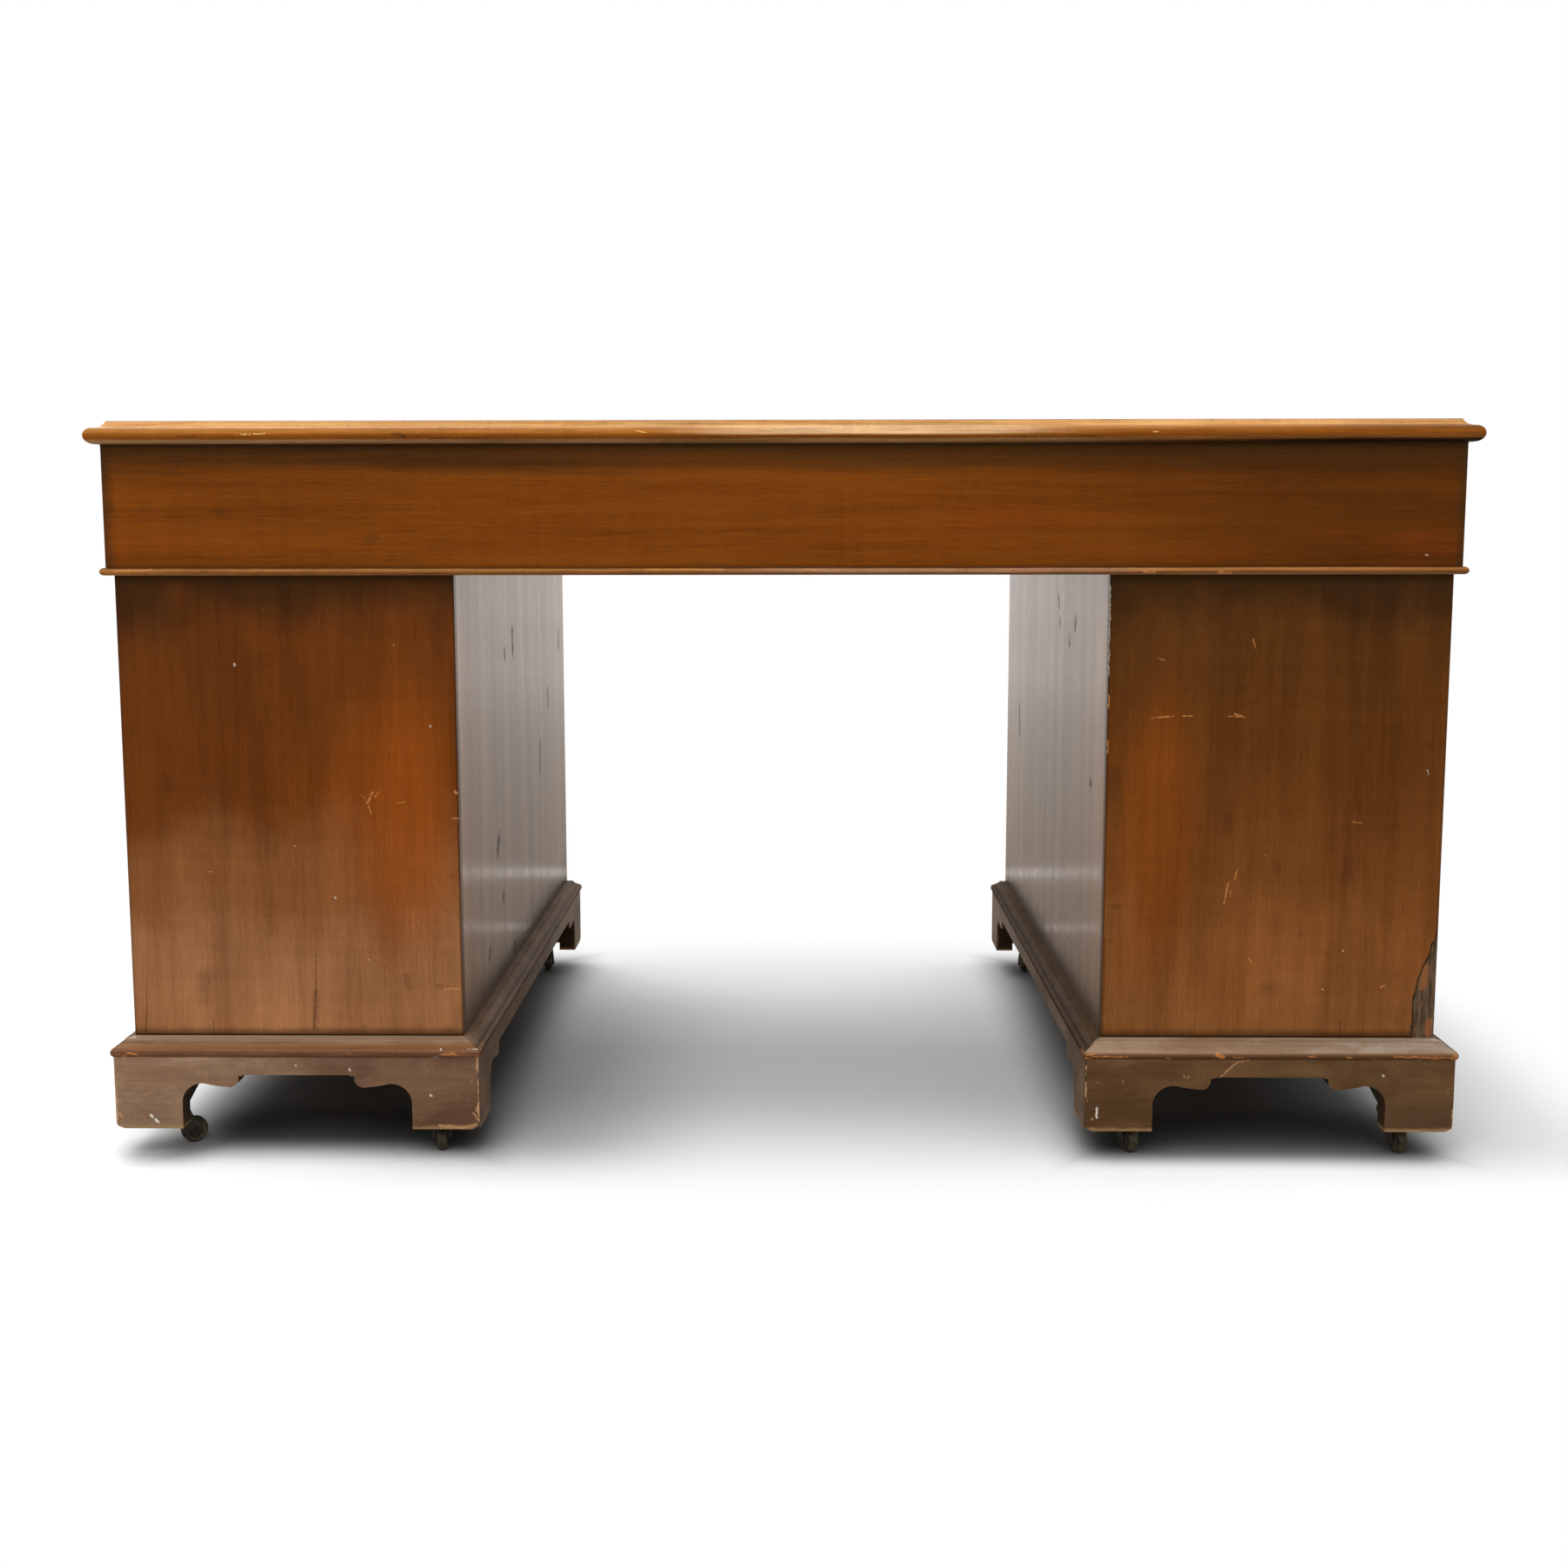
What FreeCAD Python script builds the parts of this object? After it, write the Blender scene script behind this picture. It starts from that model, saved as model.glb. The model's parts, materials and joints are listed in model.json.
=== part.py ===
import FreeCAD, Part
import os
from math import cos, radians, sin

# Pedestal writing desk in three sections: a top section with three frieze drawers stands on two
# pedestals with three graduated drawers each, and every pedestal stands on a mitred bracket plinth
# with four casters.  One long side is plain, the other holds all nine drawers.
#
# Millimetres.  +X is the desk's length, +Z is up, the drawers open towards +Y, and the plain side
# faces -Y.  The origin is on the floor under the middle of the desk's overall box.  "Left" is -X,
# "near" is the plain side and "far" is the drawer side.  The pieces are drawn about the middle of
# the top board's plan and moved to the origin when they are written.

Vec = FreeCAD.Vector
UP = Vec(0, 0, 1)
ACROSS = Vec(1, 0, 0)

# ---------------------------------------------------------------- driving dimensions
overall_height = 785.0

# writing top
top_width = 1434.0
top_depth = 910.0
top_thickness = 24.0
edge_nose_radius = 8.5          # half-round at the foot of the moulded edge
edge_cove_run = 9.5             # plan width of the cove between the half-round and the flat
leather_margin = 72.0           # polished border round the leather
leather_thickness = 1.4
leather_sink = 0.1              # leather lies this much below the border

# top section, called the frieze
frieze_inset = 13.0             # frieze face inside the top board's nose
frieze_height = 135.0
frieze_back_thickness = 18.0
frieze_end_thickness = 20.0
divider_thickness = 20.0
frieze_bottom_rail = 20.0
frieze_top_rail = 12.0
bead_height = 8.0
bead_proud = 5.0
bead_flat = 1.2                 # straight part of the bead before its round

# pedestals
kneehole_width = 684.0
pedestal_inset = 6.5            # pedestal face inside the frieze face
side_thickness = 18.0
panel_thickness = 12.0          # plain near panel, planted over the sides
base_thickness = 20.0
cap_thickness = 18.0
rail_thickness = 18.0
drawer_graduation = 18.0        # each opening is this much taller than the one above

# drawer dividers and runners, in the frieze and the pedestals alike
rail_depth = 60.0
runner_width = 24.0
dust_board_thickness = 7.0
stop_width = 30.0
stop_depth = 14.0
stop_height = 5.0
stop_inset = 55.0               # stop's outer end from the side of the opening

# drawers
drawer_length = 700.0
front_thickness = 22.0
lap_thickness = 7.0             # wood left in front of the lapped dovetails
drawer_side_thickness = 10.0
drawer_back_thickness = 11.0
bottom_thickness = 6.0
bottom_rise = 8.0               # bottom board above the lower edge of the sides
groove_depth = 4.5
housing_depth = 4.0             # drawer back let into the sides
back_inset = 6.0                # drawer back inside the rear end of the sides
side_gap = 0.8                  # drawer to the side of its opening
front_gap = 0.8                 # drawer front to the rails above and below
slide_gap = 0.3                 # drawer side above its runner
side_top_gap = 3.0              # drawer side below the rail above
back_drop = 6.0                 # drawer back below the top of the sides
cock_bead_width = 3.0
cock_bead_proud = 2.5
tail_slope = 0.16               # spread of a dovetail, width gained per length on each side
tail_share = 0.60               # part of the side's height that is tails
tail_pitch = 55.0

# eight-sided wooden knobs
knob_sides = 8
knob_radius = 15.0              # to the corners, at the rim
knob_neck_radius = 8.0
knob_face_radius = 11.0
knob_length = 26.0
knob_neck_length = 9.0
knob_rim = (15.0, 20.0)         # the widest band, measured from the drawer front
knob_spread = 0.54              # distance between two knobs as a share of the front's width

# bracket plinth
floor_clearance = 34.0
plinth_height = 79.0
plinth_thickness = 24.0
plinth_proud = 18.0             # plinth face outside the pedestal face
moulding_height = 19.0
moulding_lip = 2.4              # moulding's nose outside the plinth face
foot_width = 72.0
foot_round = 8.5                # worn lower corner of the feet
arch_spring = 30.0              # heights are above the foot's lower edge
arch_run = 24.0
arch_height = 50.0
lobe_run = 26.0
lobe_height = 46.0
ogee_run = 18.0
apron_height = 59.5

# casters
corner_block_size = 60.0
corner_block_height = 23.0
caster_inset = 50.0             # swivel axis inside the plinth's two faces
plate_size = 48.0
plate_thickness = 3.0
bell_radius = 23.5
bell_rim = 19.0                 # height of the bell's straight rim
neck_radius = 11.5
neck_height = 46.0              # underside of the bell above the floor
wheel_radius = 14.5
wheel_width = 12.0
wheel_sides = 40                # flats of the cast tread, each within 0.05 of the round
caster_trail = 16.0
fork_width = 20.0
fork_wheel_gap = 0.6            # each side of the wheel, and over it
fork_end_radius = 5.5
fork_crown = 6.0
fork_crown_reach = 10.5         # crown's half length along the trail
swivel_gap = 0.3
axle_radius = 2.4
axle_clearance = 0.08

# rest direction of each trailing wheel, in degrees from +X
trail_angles = {
    "left_near_outer": 30.0,
    "left_near_inner": -81.0,
    "left_far_inner": -70.0,
    "left_far_outer": 160.0,
    "right_near_inner": -76.0,
    "right_near_outer": -77.0,
    "right_far_outer": 20.0,
    "right_far_inner": -110.0,
}

# ---------------------------------------------------------------- derived levels and faces
top_underside = overall_height - top_thickness
frieze_bottom = top_underside - frieze_height
plinth_top = floor_clearance + plinth_height
moulding_top = plinth_top + moulding_height

frieze_width = top_width - 2 * frieze_inset
frieze_depth = top_depth - 2 * frieze_inset
frieze_front = frieze_depth / 2
frieze_back_inner = -frieze_depth / 2 + frieze_back_thickness
frieze_floor = frieze_bottom + frieze_bottom_rail
frieze_ceiling = top_underside - frieze_top_rail

pedestals_width = frieze_width - 2 * pedestal_inset
pedestal_depth = frieze_depth - 2 * pedestal_inset
pedestal_width = (pedestals_width - kneehole_width) / 2
pedestal_centre = (kneehole_width + pedestal_width) / 2
pedestal_front = pedestal_depth / 2
pedestal_back_inner = -pedestal_depth / 2 + panel_thickness
pedestal_floor = plinth_top + base_thickness
pedestal_ceiling = frieze_bottom - cap_thickness
opening_width = pedestal_width - 2 * side_thickness

plinth_outer_width = pedestal_width + 2 * plinth_proud
plinth_outer_depth = pedestal_depth + 2 * plinth_proud
block_underside = plinth_top - corner_block_height
bell_top = block_underside - plate_thickness

front_reach = max(frieze_front + knob_length, plinth_outer_depth / 2 + moulding_lip)
back_reach = max(top_depth / 2, plinth_outer_depth / 2 + moulding_lip)
centre_y = (front_reach - back_reach) / 2


# ---------------------------------------------------------------- drawing helpers
def mirrored(point):
    """Point of an outline, on the other side of its middle."""
    return (-point[0], point[1])


def box(x, y, z):
    """Block between the two values of x, y and z."""
    size = Vec(x[1] - x[0], y[1] - y[0], z[1] - z[0])
    return Part.makeBox(size.x, size.y, size.z, Vec(x[0], y[0], z[0]))


def face(place, start, *steps):
    """Closed flat face.  A step is a corner, or a pair of points that an arc passes and ends at."""
    edges = []
    here = place(*start)
    for step in steps + (start,):
        if isinstance(step[0], tuple):
            via, end = place(*step[0]), place(*step[1])
            edges.append(Part.Arc(here, via, end).toShape())
        else:
            end = place(*step)
            if here.distanceToPoint(end) > 1e-6:
                edges.append(Part.LineSegment(here, end).toShape())
        here = end
    return Part.Face(Part.Wire(edges))


def turned(start, *steps):
    """Solid turned about Z from an outline of radii and heights."""
    outline = face(lambda radius, height: Vec(radius, 0, height), start, *steps)
    return outline.revolve(Vec(0, 0, 0), UP, 360)


def quarter_turned(shape, turns):
    """Copy of a shape turned about Z by quarter turns."""
    copy = shape.copy()
    copy.rotate(Vec(0, 0, 0), UP, 90 * turns)
    return copy


def moved(shape, x=0.0, y=0.0, z=0.0):
    """Copy of a shape moved by x, y and z."""
    copy = shape.copy()
    copy.translate(Vec(x, y, z))
    return copy


def mitred_bar(bar, half_length, half_offset, reach, inset, z):
    """The near side of a mitred frame, cut from a straight bar that runs along X."""
    outer_x, outer_y = half_length + reach, half_offset + reach
    inner_x, inner_y = half_length - inset, half_offset - inset
    plan = face(lambda x, y: Vec(x, y, z[0] - 1), (-outer_x, -outer_y), (outer_x, -outer_y),
                (inner_x, -inner_y), (-inner_x, -inner_y))
    return bar.common(plan.extrude(UP * (z[1] - z[0] + 2)))


def mitred_frame(make_bar, width, depth, reach, inset, z):
    """Four mitred bars round a rectangle: near, right, far and left."""
    bars = []
    for turns in range(4):
        along, across = (width, depth) if turns % 2 == 0 else (depth, width)
        bar = make_bar(along / 2, across / 2)
        bars.append(quarter_turned(mitred_bar(bar, along / 2, across / 2, reach, inset, z), turns))
    return bars


def profile_bar(half_length, half_offset, reach, start, *steps):
    """Straight bar along X whose section is drawn outwards from the near face, and upwards."""
    overrun = half_length + reach + 1
    section = face(lambda out, z: Vec(-overrun, -half_offset - out, z), start, *steps)
    return section.extrude(ACROSS * (2 * overrun))


# ---------------------------------------------------------------- writing top
def edge_section(half_span, place):
    """Section of the top board: a half-round on both edges with a cove over it."""
    z0, z1 = top_underside, overall_height
    nose_z = z0 + edge_nose_radius
    step_z = z0 + 2 * edge_nose_radius
    shoulder = half_span - edge_nose_radius
    flat = shoulder - edge_cove_run
    cove = (shoulder - 0.62 * edge_cove_run, step_z + 0.30 * (z1 - step_z))
    return face(place, (-shoulder, z0), (shoulder, z0),
                ((half_span, nose_z), (shoulder, step_z)), (cove, (flat, z1)), (-flat, z1),
                (mirrored(cove), (-shoulder, step_z)), ((-half_span, nose_z), (-shoulder, z0)))


def leather_plan():
    """Half sizes of the leather."""
    return top_width / 2 - leather_margin, top_depth / 2 - leather_margin


def desktop():
    """Top board: the same moulded section both ways meets in mitres at the corners."""
    half_x, half_y = top_width / 2, top_depth / 2
    lengthways = edge_section(half_y, lambda y, z: Vec(-half_x - 1, y, z))
    crossways = edge_section(half_x, lambda x, z: Vec(x, -half_y - 1, z))
    board = lengthways.extrude(ACROSS * (top_width + 2))
    board = board.common(crossways.extrude(Vec(0, top_depth + 2, 0)))
    x, y = leather_plan()
    recess_floor = overall_height - leather_sink - leather_thickness
    return [board.cut(box((-x, x), (-y, y), (recess_floor, overall_height + 1)))]


def writing_leather():
    """Leather let into the top board."""
    x, y = leather_plan()
    upper = overall_height - leather_sink
    return [box((-x, x), (-y, y), (upper - leather_thickness, upper))]


# ---------------------------------------------------------------- frieze
def frieze_bays():
    """Left and right wall of each frieze opening, by bay."""
    end = frieze_width / 2 - frieze_end_thickness
    near_divider = kneehole_width / 2
    far_divider = near_divider + divider_thickness
    return {"left": (-end, -far_divider), "centre": (-near_divider, near_divider),
            "right": (far_divider, end)}


def frieze_back_board():
    """Plain long board across the near side."""
    half = frieze_width / 2
    return [box((-half, half), (-frieze_front, frieze_back_inner), (frieze_bottom, top_underside))]


def frieze_ends():
    """The two end boards."""
    outer = frieze_width / 2
    inner = outer - frieze_end_thickness
    y, z = (frieze_back_inner, frieze_front), (frieze_bottom, top_underside)
    return [box((-outer, -inner), y, z), box((inner, outer), y, z)]


def frieze_dividers():
    """The two upright boards between the frieze drawers."""
    inner = kneehole_width / 2
    outer = inner + divider_thickness
    y, z = (frieze_back_inner, frieze_front), (frieze_bottom, top_underside)
    return [box((-outer, -inner), y, z), box((inner, outer), y, z)]


def bay_rails(bay, front, rails):
    """Front rails of one bay: each rail is the pair of its lower and upper level."""
    return [box(bay, (front - rail_depth, front), rail) for rail in rails]


def bay_strips(bay, back, front, level):
    """Runner or kicker strips along both walls of a bay, from the rail to the back."""
    y = (back, front - rail_depth)
    left = box((bay[0], bay[0] + runner_width), y, level)
    right = box((bay[1] - runner_width, bay[1]), y, level)
    return [left, right]


def bay_dust_board(bay, back, front, level):
    """Thin board between the runners, halfway up them."""
    x = (bay[0] + runner_width, bay[1] - runner_width)
    middle = sum(level) / 2
    z = (middle - dust_board_thickness / 2, middle + dust_board_thickness / 2)
    return box(x, (back, front - rail_depth), z)


def bay_stops(bay, front, floor):
    """Two small blocks on the rail that meet the back of the closed drawer front."""
    y1 = front - front_thickness - slide_gap
    y, z = (y1 - stop_depth, y1), (floor, floor + stop_height)
    left = box((bay[0] + stop_inset, bay[0] + stop_inset + stop_width), y, z)
    right = box((bay[1] - stop_inset - stop_width, bay[1] - stop_inset), y, z)
    return [left, right]


def frieze_rails():
    """Rails under and over the frieze drawers."""
    rails = [(frieze_bottom, frieze_floor), (frieze_ceiling, top_underside)]
    return [rail for bay in frieze_bays().values() for rail in bay_rails(bay, frieze_front, rails)]


def frieze_runners():
    """Runners and kickers behind the frieze rails."""
    solids = []
    for bay in frieze_bays().values():
        for level in ((frieze_bottom, frieze_floor), (frieze_ceiling, top_underside)):
            solids += bay_strips(bay, frieze_back_inner, frieze_front, level)
    return solids


def frieze_dust_boards():
    """Dust boards under the frieze drawers."""
    level = (frieze_bottom, frieze_floor)
    return [bay_dust_board(bay, frieze_back_inner, frieze_front, level)
            for bay in frieze_bays().values()]


def drawer_stops():
    """Stop blocks of all nine drawers."""
    solids = []
    for bay in frieze_bays().values():
        solids += bay_stops(bay, frieze_front, frieze_floor)
    for centre in (-pedestal_centre, pedestal_centre):
        for floor, _ in pedestal_openings().values():
            solids += bay_stops(pedestal_bay(centre), pedestal_front, floor)
    return solids


def frieze_bead():
    """Half-round bead planted round the foot of the frieze."""
    z0, z1 = frieze_bottom, frieze_bottom + bead_height

    def bar(half_length, half_offset):
        return profile_bar(half_length, half_offset, bead_proud, (0, z0), (bead_flat, z0),
                           ((bead_proud, (z0 + z1) / 2), (bead_flat, z1)), (0, z1))

    return mitred_frame(bar, frieze_width, frieze_depth, bead_proud, 0.0, (z0, z1))


# ---------------------------------------------------------------- pedestals
def pedestal_openings():
    """Floor and ceiling of the three drawer openings, upper, middle and lower."""
    clear = pedestal_ceiling - pedestal_floor - 2 * rail_thickness
    upper = clear / 3 - drawer_graduation
    levels = {}
    ceiling = pedestal_ceiling
    for place, name in enumerate(("upper", "middle", "lower")):
        floor = ceiling - upper - place * drawer_graduation
        levels[name] = (floor, ceiling)
        ceiling = floor - rail_thickness
    return levels


def pedestal_bay(centre):
    """Left and right wall of a pedestal's openings."""
    return (centre - opening_width / 2, centre + opening_width / 2)


def pedestal_sides(centre):
    """The two full-height side boards, whose front edges frame the drawers."""
    half = pedestal_width / 2
    y, z = (pedestal_back_inner, pedestal_front), (plinth_top, frieze_bottom)
    return [box((centre - half, centre - half + side_thickness), y, z),
            box((centre + half - side_thickness, centre + half), y, z)]


def pedestal_near_panel(centre):
    """Plain panel that covers the near side of the pedestal."""
    half = pedestal_width / 2
    y = (-pedestal_front, pedestal_back_inner)
    return [box((centre - half, centre + half), y, (plinth_top, frieze_bottom))]


def rail_levels():
    """Lower and upper face of the rails between a pedestal's drawers."""
    floors = [floor for floor, _ in pedestal_openings().values()]
    return [(floor - rail_thickness, floor) for floor in floors[:-1]]


def pedestal_frame(centre):
    """Base, cap, rails and runners between the sides of a pedestal."""
    bay = pedestal_bay(centre)
    y = (pedestal_back_inner, pedestal_front)
    solids = [box(bay, y, (plinth_top, pedestal_floor)),
              box(bay, y, (pedestal_ceiling, frieze_bottom))]
    solids += bay_rails(bay, pedestal_front, rail_levels())
    for level in rail_levels():
        solids += bay_strips(bay, pedestal_back_inner, pedestal_front, level)
    return solids


def pedestal_dust_boards(centre):
    """Dust boards between the drawers of a pedestal."""
    return [bay_dust_board(pedestal_bay(centre), pedestal_back_inner, pedestal_front, level)
            for level in rail_levels()]


# ---------------------------------------------------------------- bracket plinth
def apron_half(end):
    """One foot of a plinth board from its outer corner to the flat of the apron.

    Steps for the right-hand end; distances run inwards from the end of the board."""
    z = floor_clearance
    foot = end - foot_width
    arch = foot - arch_run
    lobe = arch - lobe_run
    flat = lobe - ogee_run
    hollow = (lobe - 0.62 * ogee_run, z + 0.55 * (lobe_height + apron_height))
    return [
        ((foot - 0.3 * arch_run, z + arch_spring + 0.72 * (arch_height - arch_spring)),
         (arch, z + arch_height)),
        ((arch - 0.5 * lobe_run, z + arch_height - 0.65 * (arch_height - lobe_height)),
         (lobe, z + lobe_height)),
        ((lobe - 0.42 * ogee_run, z + lobe_height + 0.13 * (apron_height - lobe_height)),
         hollow),
        ((lobe - 0.76 * ogee_run, z + 0.9 * apron_height + 0.1 * lobe_height),
         (flat, z + apron_height)),
    ]


def reversed_steps(start, steps):
    """The same outline walked backwards, as the start and the steps of the way back."""
    ends = [start] + [step[1] for step in steps]
    back = [(steps[i][0], ends[i]) for i in reversed(range(len(steps)))]
    return ends[-1], back


def plinth_board(half_length, half_offset):
    """Plinth board along X with rounded feet and a shaped apron between them."""
    end = half_length + plinth_proud
    z0, z1 = floor_clearance, plinth_top
    foot = (end - foot_width, z0 + arch_spring)
    curve = apron_half(end)
    flat, way_back = reversed_steps(foot, curve)
    left_curve = [(mirrored(via), mirrored(to)) for via, to in curve]
    corner = 0.29 * foot_round
    steps = [(end, z1), (end, z0 + foot_round), (end - corner, z0 + corner),
             (end - foot_round, z0), (foot[0], z0), foot] + curve
    steps += [mirrored(flat)]
    steps += [(mirrored(via), mirrored(to)) for via, to in way_back]
    steps += [(-foot[0], z0), (-end + foot_round, z0), (-end + corner, z0 + corner),
              (-end, z0 + foot_round)]
    outer_y = -half_offset - plinth_proud
    outline = face(lambda x, z: Vec(x, outer_y, z), (-end, z1), *steps)
    return outline.extrude(Vec(0, plinth_thickness, 0))


def plinth_boards(centre):
    """Four mitred boards of one plinth."""
    boards = mitred_frame(plinth_board, pedestal_width, pedestal_depth, plinth_proud,
                          plinth_thickness - plinth_proud, (floor_clearance, plinth_top))
    return [moved(board, x=centre) for board in boards]


def plinth_moulding(centre):
    """Four mitred base mouldings of one pedestal, on top of its plinth boards."""
    z0, z1 = plinth_top, moulding_top
    nose = plinth_proud + moulding_lip

    def bar(half_length, half_offset):
        return profile_bar(
            half_length, half_offset, nose, (0, z0), (plinth_proud, z0),
            ((nose, z0 + 0.31 * moulding_height), (0.88 * nose, z0 + 0.5 * moulding_height)),
            ((0.62 * nose, z0 + 0.66 * moulding_height),
             (0.4 * nose, z0 + 0.86 * moulding_height)),
            (0.4 * nose, z0 + 0.92 * moulding_height), (0, z1))

    frame = mitred_frame(bar, pedestal_width, pedestal_depth, nose, 0.0, (z0, z1))
    return [moved(piece, x=centre) for piece in frame]


# ---------------------------------------------------------------- casters
def caster_places():
    """Swivel axis of each caster in plan, with the outward directions of its corner."""
    places = {}
    half_x = plinth_outer_width / 2 - caster_inset
    half_y = plinth_outer_depth / 2 - caster_inset
    for name in trail_angles:
        side, end, hand = name.split("_")
        outwards_x = (1 if side == "right" else -1) * (1 if hand == "outer" else -1)
        outwards_y = 1 if end == "far" else -1
        centre = pedestal_centre if side == "right" else -pedestal_centre
        places[name] = (centre + outwards_x * half_x, outwards_y * half_y, outwards_x, outwards_y)
    return places


def corner_blocks():
    """Square blocks glued into the plinth corners, which carry the casters."""
    to_corner = caster_inset - plinth_thickness
    inwards = to_corner - corner_block_size
    solids = []
    for x, y, out_x, out_y in caster_places().values():
        x_span = sorted((x + out_x * to_corner, x + out_x * inwards))
        y_span = sorted((y + out_y * to_corner, y + out_y * inwards))
        solids.append(box(x_span, y_span, (block_underside, plinth_top)))
    return solids


def caster_bell():
    """Closed bell under the plate, which hides the swivel bearing."""
    return turned((0, bell_top), (0, neck_height), (neck_radius, neck_height),
                  (bell_radius, bell_top - bell_rim), (bell_radius, bell_top))


def caster_plates():
    """Plate of every caster, fixed under its corner block."""
    half = plate_size / 2
    return [box((x - half, x + half), (y - half, y + half), (bell_top, block_underside))
            for x, y, _, _ in caster_places().values()]


def caster_bells():
    """Bell of every caster, under its plate."""
    return [moved(caster_bell(), x, y) for x, y, _, _ in caster_places().values()]


def fork_outline(place):
    """Side of the fork: a flat crown under the bell that rakes back and down to the axle."""
    top = neck_height - swivel_gap
    crown_foot = top - fork_crown
    x, z, r = caster_trail, wheel_radius, fork_end_radius
    return face(place, (-fork_crown_reach, top), (-fork_crown_reach, crown_foot), (x - r, z),
                (x - r / 2, z - r), (x + r / 2, z - r), (x + r, z),
                (fork_crown_reach, crown_foot), (fork_crown_reach, top))


def caster_fork():
    """Fork that trails along +X, with the axle between its cheeks."""
    half = fork_width / 2
    slot = wheel_width / 2 + fork_wheel_gap
    fork = fork_outline(lambda x, z: Vec(x, -half, z)).extrude(Vec(0, fork_width, 0))
    slot_top = 2 * wheel_radius + fork_wheel_gap
    reach = caster_trail + 2 * wheel_radius
    fork = fork.cut(box((-reach, reach), (-slot, slot), (-1, slot_top)))
    axle = Part.makeCylinder(axle_radius, fork_width, Vec(caster_trail, -half, wheel_radius),
                             Vec(0, 1, 0))
    return fork.fuse(axle).removeSplitter()


def caster_wheel():
    """Wheel bored for its axle, for a fork that trails along +X."""
    half = wheel_width / 2
    angles = [radians(360 * (i + 0.5) / wheel_sides) for i in range(wheel_sides + 1)]
    corner = wheel_radius / cos(radians(180 / wheel_sides))
    rim = [Vec(caster_trail + corner * sin(a), -half, wheel_radius - corner * cos(a))
           for a in angles]
    wheel = Part.Face(Part.makePolygon(rim)).extrude(Vec(0, wheel_width, 0))
    bore = Part.makeCylinder(axle_radius + axle_clearance, wheel_width,
                             Vec(caster_trail, -half, wheel_radius), Vec(0, 1, 0))
    return wheel.cut(bore)


def placed_caster(shape, name):
    """Copy of a caster piece at its corner, turned to its rest direction."""
    x, y, _, _ = caster_places()[name]
    copy = shape.copy()
    copy.rotate(Vec(0, 0, 0), UP, trail_angles[name])
    return moved(copy, x, y)


# ---------------------------------------------------------------- drawers
def drawer_sizes(bay, floor, ceiling, front):
    """Faces of one drawer, worked out from the opening that it fills."""
    x0, x1 = bay[0] + side_gap, bay[1] - side_gap
    return {
        "x0": x0,
        "x1": x1,
        "face_y": front,
        "inner_y": front - front_thickness,
        "tail_y": front - lap_thickness,
        "back_y": front - drawer_length,
        "front_z": (floor + front_gap, ceiling - front_gap),
        "side_z": (floor + slide_gap, ceiling - side_top_gap),
        "bottom_z": (floor + slide_gap + bottom_rise,
                     floor + slide_gap + bottom_rise + bottom_thickness),
    }


def tail_count(height):
    """Number of dovetails on a drawer side of this height."""
    return max(2, round(height / tail_pitch))


def tails(height, length):
    """Dovetails along a drawer side: pairs of a tail's middle and its half width at the tip."""
    count = tail_count(height)
    pitch = height / count
    half_width = tail_share * pitch / 2
    spread = tail_slope * length
    return [((i + 0.5) * pitch, half_width + spread / 2, half_width - spread / 2)
            for i in range(count)]


def tail_prisms(x, z0, height, root_y, tip_y):
    """Wood of the dovetails of one side: they widen from their root to their tip."""
    prisms = []
    for middle, tip, root in tails(height, abs(tip_y - root_y)):
        z = z0 + middle
        plan = face(lambda y, level: Vec(x[0], y, level), (root_y, z - root), (tip_y, z - tip),
                    (tip_y, z + tip), (root_y, z + root))
        prisms.append(plan.extrude(ACROSS * (x[1] - x[0])))
    return prisms


def drawer_side(d, x):
    """Side board with dovetails at its front end."""
    z0, z1 = d["side_z"]
    board = box(x, (d["back_y"], d["inner_y"]), (z0, z1))
    front_tails = tail_prisms(x, z0, z1 - z0, d["inner_y"], d["tail_y"])
    return board.fuse(front_tails).removeSplitter()


def drawer_bottom(d):
    """Bottom board, let into the sides and the front, and running under the back."""
    inset = drawer_side_thickness - groove_depth
    x = (d["x0"] + inset, d["x1"] - inset)
    return box(x, (d["back_y"], d["inner_y"] + groove_depth), d["bottom_z"])


def drawer_back(d):
    """Back board, housed in the sides and standing on the bottom board."""
    inset = drawer_side_thickness - housing_depth
    y = d["back_y"] + back_inset
    return box((d["x0"] + inset, d["x1"] - inset), (y, y + drawer_back_thickness),
               (d["bottom_z"][1], d["side_z"][1] - back_drop))


def drawer_box(d):
    """Sides, back and bottom of a drawer: four boards, housed and grooved together."""
    left = (d["x0"], d["x0"] + drawer_side_thickness)
    right = (d["x1"] - drawer_side_thickness, d["x1"])
    back, bottom = drawer_back(d), drawer_bottom(d)
    sides = [drawer_side(d, x).cut([back, bottom]) for x in (left, right)]
    return sides + [back, bottom]


def drawer_front(d):
    """Front board with a cock bead round its face and sockets for the lapped dovetails."""
    x0, x1 = d["x0"], d["x1"]
    z0, z1 = d["front_z"]
    w = cock_bead_width
    board = box((x0, x1), (d["inner_y"], d["face_y"]), (z0, z1))
    rim = box((x0, x1), (d["face_y"], d["face_y"] + cock_bead_proud), (z0, z1))
    field = box((x0 + w, x1 - w), (d["face_y"], d["face_y"] + cock_bead_proud),
                (z0 + w, z1 - w))
    board = board.fuse(rim.cut(field)).removeSplitter()
    side_z0, side_z1 = d["side_z"]
    sockets = []
    for x in ((x0, x0 + drawer_side_thickness), (x1 - drawer_side_thickness, x1)):
        sockets += tail_prisms(x, side_z0, side_z1 - side_z0, d["inner_y"], d["tail_y"])
    return [board.cut(sockets + [drawer_bottom(d)])]


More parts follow.
